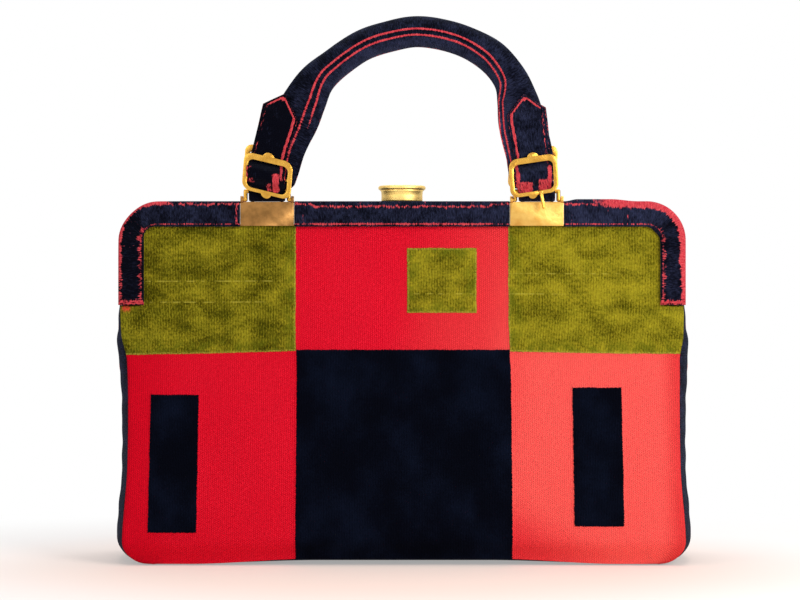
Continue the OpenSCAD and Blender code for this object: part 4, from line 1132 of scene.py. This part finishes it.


# Brass: the handle plates, bails, buckles and lock in polished brass with fine scratches, a little
# tarnish in blotches, and eased edges. The left plate is given darker brass as painted shade, for the
# darker surroundings it reflects.
def brass_finish(name, base, tarnish, roughness, amount):
    """Brass from a clean colour and a tarnished one, its roughness, and the amount of tarnish."""
    finish, tree, shader = new_finish(name, roughness, 1.0)
    place = object_place(tree)
    blotch = noise(place, 160, 4.0, 0.6)
    scratch = noise(place, 2600, 2.0, 0.6)
    share = calc("MULTIPLY", ramp(blotch, 0.38, 0.68), amount)
    feed(shader.inputs["Base Color"], tint(share, base, tarnish))
    worn_gloss = calc("MULTIPLY_ADD", blotch, 0.22, roughness - 0.09)
    feed(shader.inputs["Roughness"], calc("MULTIPLY_ADD", scratch, 0.10, worn_gloss))
    raise_bumps(shader, calc("MULTIPLY_ADD", scratch, 0.25, blotch), 0.00025)
    return finish


buckle_brass = brass_finish("buckle_brass", (0.74, 0.405, 0.068), (0.42, 0.19, 0.022), 0.24, 0.65)
# Painted shade: the left plate's brass colours are much darker than the right plate's, standing in for the
# darker reflection it catches
left_plate_shaded_brass = brass_finish("left_plate_shaded_brass", (0.36, 0.18, 0.055), (0.20, 0.10, 0.03), 0.42, 0.8)
right_plate_brass = brass_finish("right_plate_brass", (0.80, 0.50, 0.13), (0.62, 0.30, 0.05), 0.36, 0.6)
lock_brass = brass_finish("lock_brass", (1.0, 0.72, 0.25), (0.94, 0.56, 0.13), 0.40, 0.35)


def eased_copy(node, finish, bevel, sideways_by=0.0, sheared=0.0):
    """Brass copy of a CAD node with its doubles merged, its sharp edges eased by a bevel, and a finish. It
    can sit a little to one side, where the strap leaves it room, and be bent out of square by wear."""
    piece = bpy.data.objects.new(node + "_finished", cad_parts[node].data.copy())
    scene.collection.objects.link(piece)
    work = bmesh.new()
    work.from_mesh(piece.data)
    bmesh.ops.remove_doubles(work, verts=work.verts, dist=0.000005)
    middle = sum((vertex.co.z for vertex in work.verts), 0.0) / len(work.verts)
    for vertex in work.verts:
        vertex.co.x += sideways_by + sheared * (vertex.co.z - middle)
    bmesh.ops.recalc_face_normals(work, faces=work.faces)
    work.to_mesh(piece.data)
    work.free()
    piece.data.shade_smooth()
    piece.data.materials.clear()
    piece.data.materials.append(finish)
    eased = piece.modifiers.new("eased", "BEVEL")
    eased.width = bevel
    eased.segments = 2
    eased.limit_method = "ANGLE"
    eased.angle_limit = math.radians(38)
    eased.harden_normals = True
    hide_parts(node)
    return piece


for node, body, finish, bevel, sideways_by, sheared in (
        ("left_plate", "front_frame", left_plate_shaded_brass, 0.00025, 0.0, 0.0),
        ("right_plate", "front_frame", right_plate_brass, 0.00025, 0.0, 0.0),
        ("left_bail", "bails", buckle_brass, 0.00005, 0.0, 0.0),
        ("right_bail", "bails", buckle_brass, 0.00005, 0.0, 0.0),
        ("left_front_buckle", "handle", buckle_brass, 0.0005, -0.0004, -0.17),
        ("left_back_buckle", "handle", buckle_brass, 0.0005, -0.0010, -0.20),
        ("right_front_buckle", "handle", buckle_brass, 0.0005, -0.0010, 0.09),
        ("right_back_buckle", "handle", buckle_brass, 0.0005, 0.0000, 0.20),
        ("right_buckle_tongue", "buckle_tongue", buckle_brass, 0.00012, -0.0010, 0.0)):
    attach(eased_copy(node, finish, bevel, sideways_by, sheared), body)


# Lock: a spun brass cup with a rolled lip on the back half, and a slightly domed button inside it.
collar_low, collar_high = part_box("lock_collar")
button_low, button_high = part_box("lock_button")
lock_centre = ((collar_low.x + collar_high.x) / 2, (collar_low.y + collar_high.y) / 2)
LIP_R = (collar_high.x - collar_low.x) / 2
LIP_T = 0.0024
BORE_R = 0.0018
COLLAR_R = 0.0112
COLLAR_WALL = 0.001
STEM_R = 0.0016
BUTTON_R = button_high.x
BUTTON_T = 0.0024
RIM_DROP = 0.0009
DOME_H = 0.0008
cup_floor = frame_top + SOFT_GAP
lip_low = collar_high.z - LIP_T
lip_middle = collar_high.z - LIP_T / 2
head_low = button_high.z - BUTTON_T
rim = button_high.z - RIM_DROP
cup = [
    (BORE_R, cup_floor),
    (COLLAR_R - 0.0004, cup_floor),
    (COLLAR_R - 0.0001, cup_floor + 0.0002),
    (COLLAR_R, cup_floor + 0.0006),
    (COLLAR_R - 0.0001, cup_floor + 0.0030),
    (COLLAR_R + 0.0001, lip_low - 0.0008),
    (COLLAR_R + 0.0006, lip_low - 0.0001),
]
for turn in np.linspace(-math.pi / 2, math.pi, 20):
    cup.append((LIP_R - LIP_T / 2 * (1 - math.cos(turn)), lip_middle + LIP_T / 2 * math.sin(turn)))
cup += [
    (COLLAR_R - COLLAR_WALL, lip_middle - 0.0004),
    (COLLAR_R - COLLAR_WALL, cup_floor + COLLAR_WALL),
    (BORE_R, cup_floor + COLLAR_WALL),
]
dome = [
    (STEM_R, button_low.z),
    (STEM_R, head_low),
    (BUTTON_R - 0.0003, head_low),
    (BUTTON_R, head_low + 0.0003),
    (BUTTON_R, rim),
]
for turn in np.linspace(0.05, 1.5, 12):
    dome.append((BUTTON_R * math.cos(turn), rim + DOME_H * math.sin(turn)))


def spun(name, profile):
    """Surface of revolution about the lock's axis from a profile of radius and height."""
    turn = np.linspace(0, 2 * math.pi, 97)[None, :]
    radius, height = np.array(profile).T[:, :, None]
    x = lock_centre[0] + radius * np.cos(turn)
    y = lock_centre[1] + radius * np.sin(turn)
    piece = surface(name, joined(x, y, height)[:, :-1], joined(turn, height), wrap=True, ends=True)
    face_outwards(piece)
    piece.data.materials.append(lock_brass)
    return piece


for node, profile, body in (("lock_collar", cup, "back_frame"), ("lock_button", dome, "lock_button")):
    piece = spun(node + "_spun", profile)
    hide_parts(node)
    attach(piece, body)
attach(eased_copy("lock_latch", lock_brass, 0.00008), "lock_button")


# Inner metal and board: nickel-plated frame channels, rivets, the spring-steel catch and return spring,
# and the board in the bottom. They keep their CAD shapes and only take their finishes.
def metal_finish(name, colour, roughness):
    """Plain plated metal with a soft brushed variation."""
    finish, tree, shader = new_finish(name, roughness, 1.0)
    brushed = noise(stretched(object_place(tree), 0.2, 1.0), 1800, 2.0)
    feed(shader.inputs["Roughness"], calc("MULTIPLY_ADD", brushed, 0.15, roughness - 0.07))
    shader.inputs["Base Color"].default_value = (*colour, 1)
    return finish


board_finish, tree, shader = new_finish("board", 0.9)
fibres = noise(object_place(tree), 900, 3.0)
feed(shader.inputs["Base Color"], tint(fibres, (0.20, 0.13, 0.07), (0.32, 0.22, 0.13)))
frame_metal = metal_finish("frame_metal", (0.58, 0.55, 0.50), 0.34)
spring_steel = metal_finish("spring_steel", (0.56, 0.57, 0.58), 0.25)
for nodes, finish in (
        (("front_frame_rail", "back_frame_rail"), frame_metal),
        (("lock_spring", "catch_tongue"), spring_steel),
        (("hinge_rivet_left", "hinge_rivet_right"), lock_brass),
        (("base_board",), board_finish)):
    for node in nodes:
        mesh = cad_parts[node].data
        if not mesh.materials:
            mesh.materials.append(finish)
        for i in range(len(mesh.materials)):
            mesh.materials[i] = finish
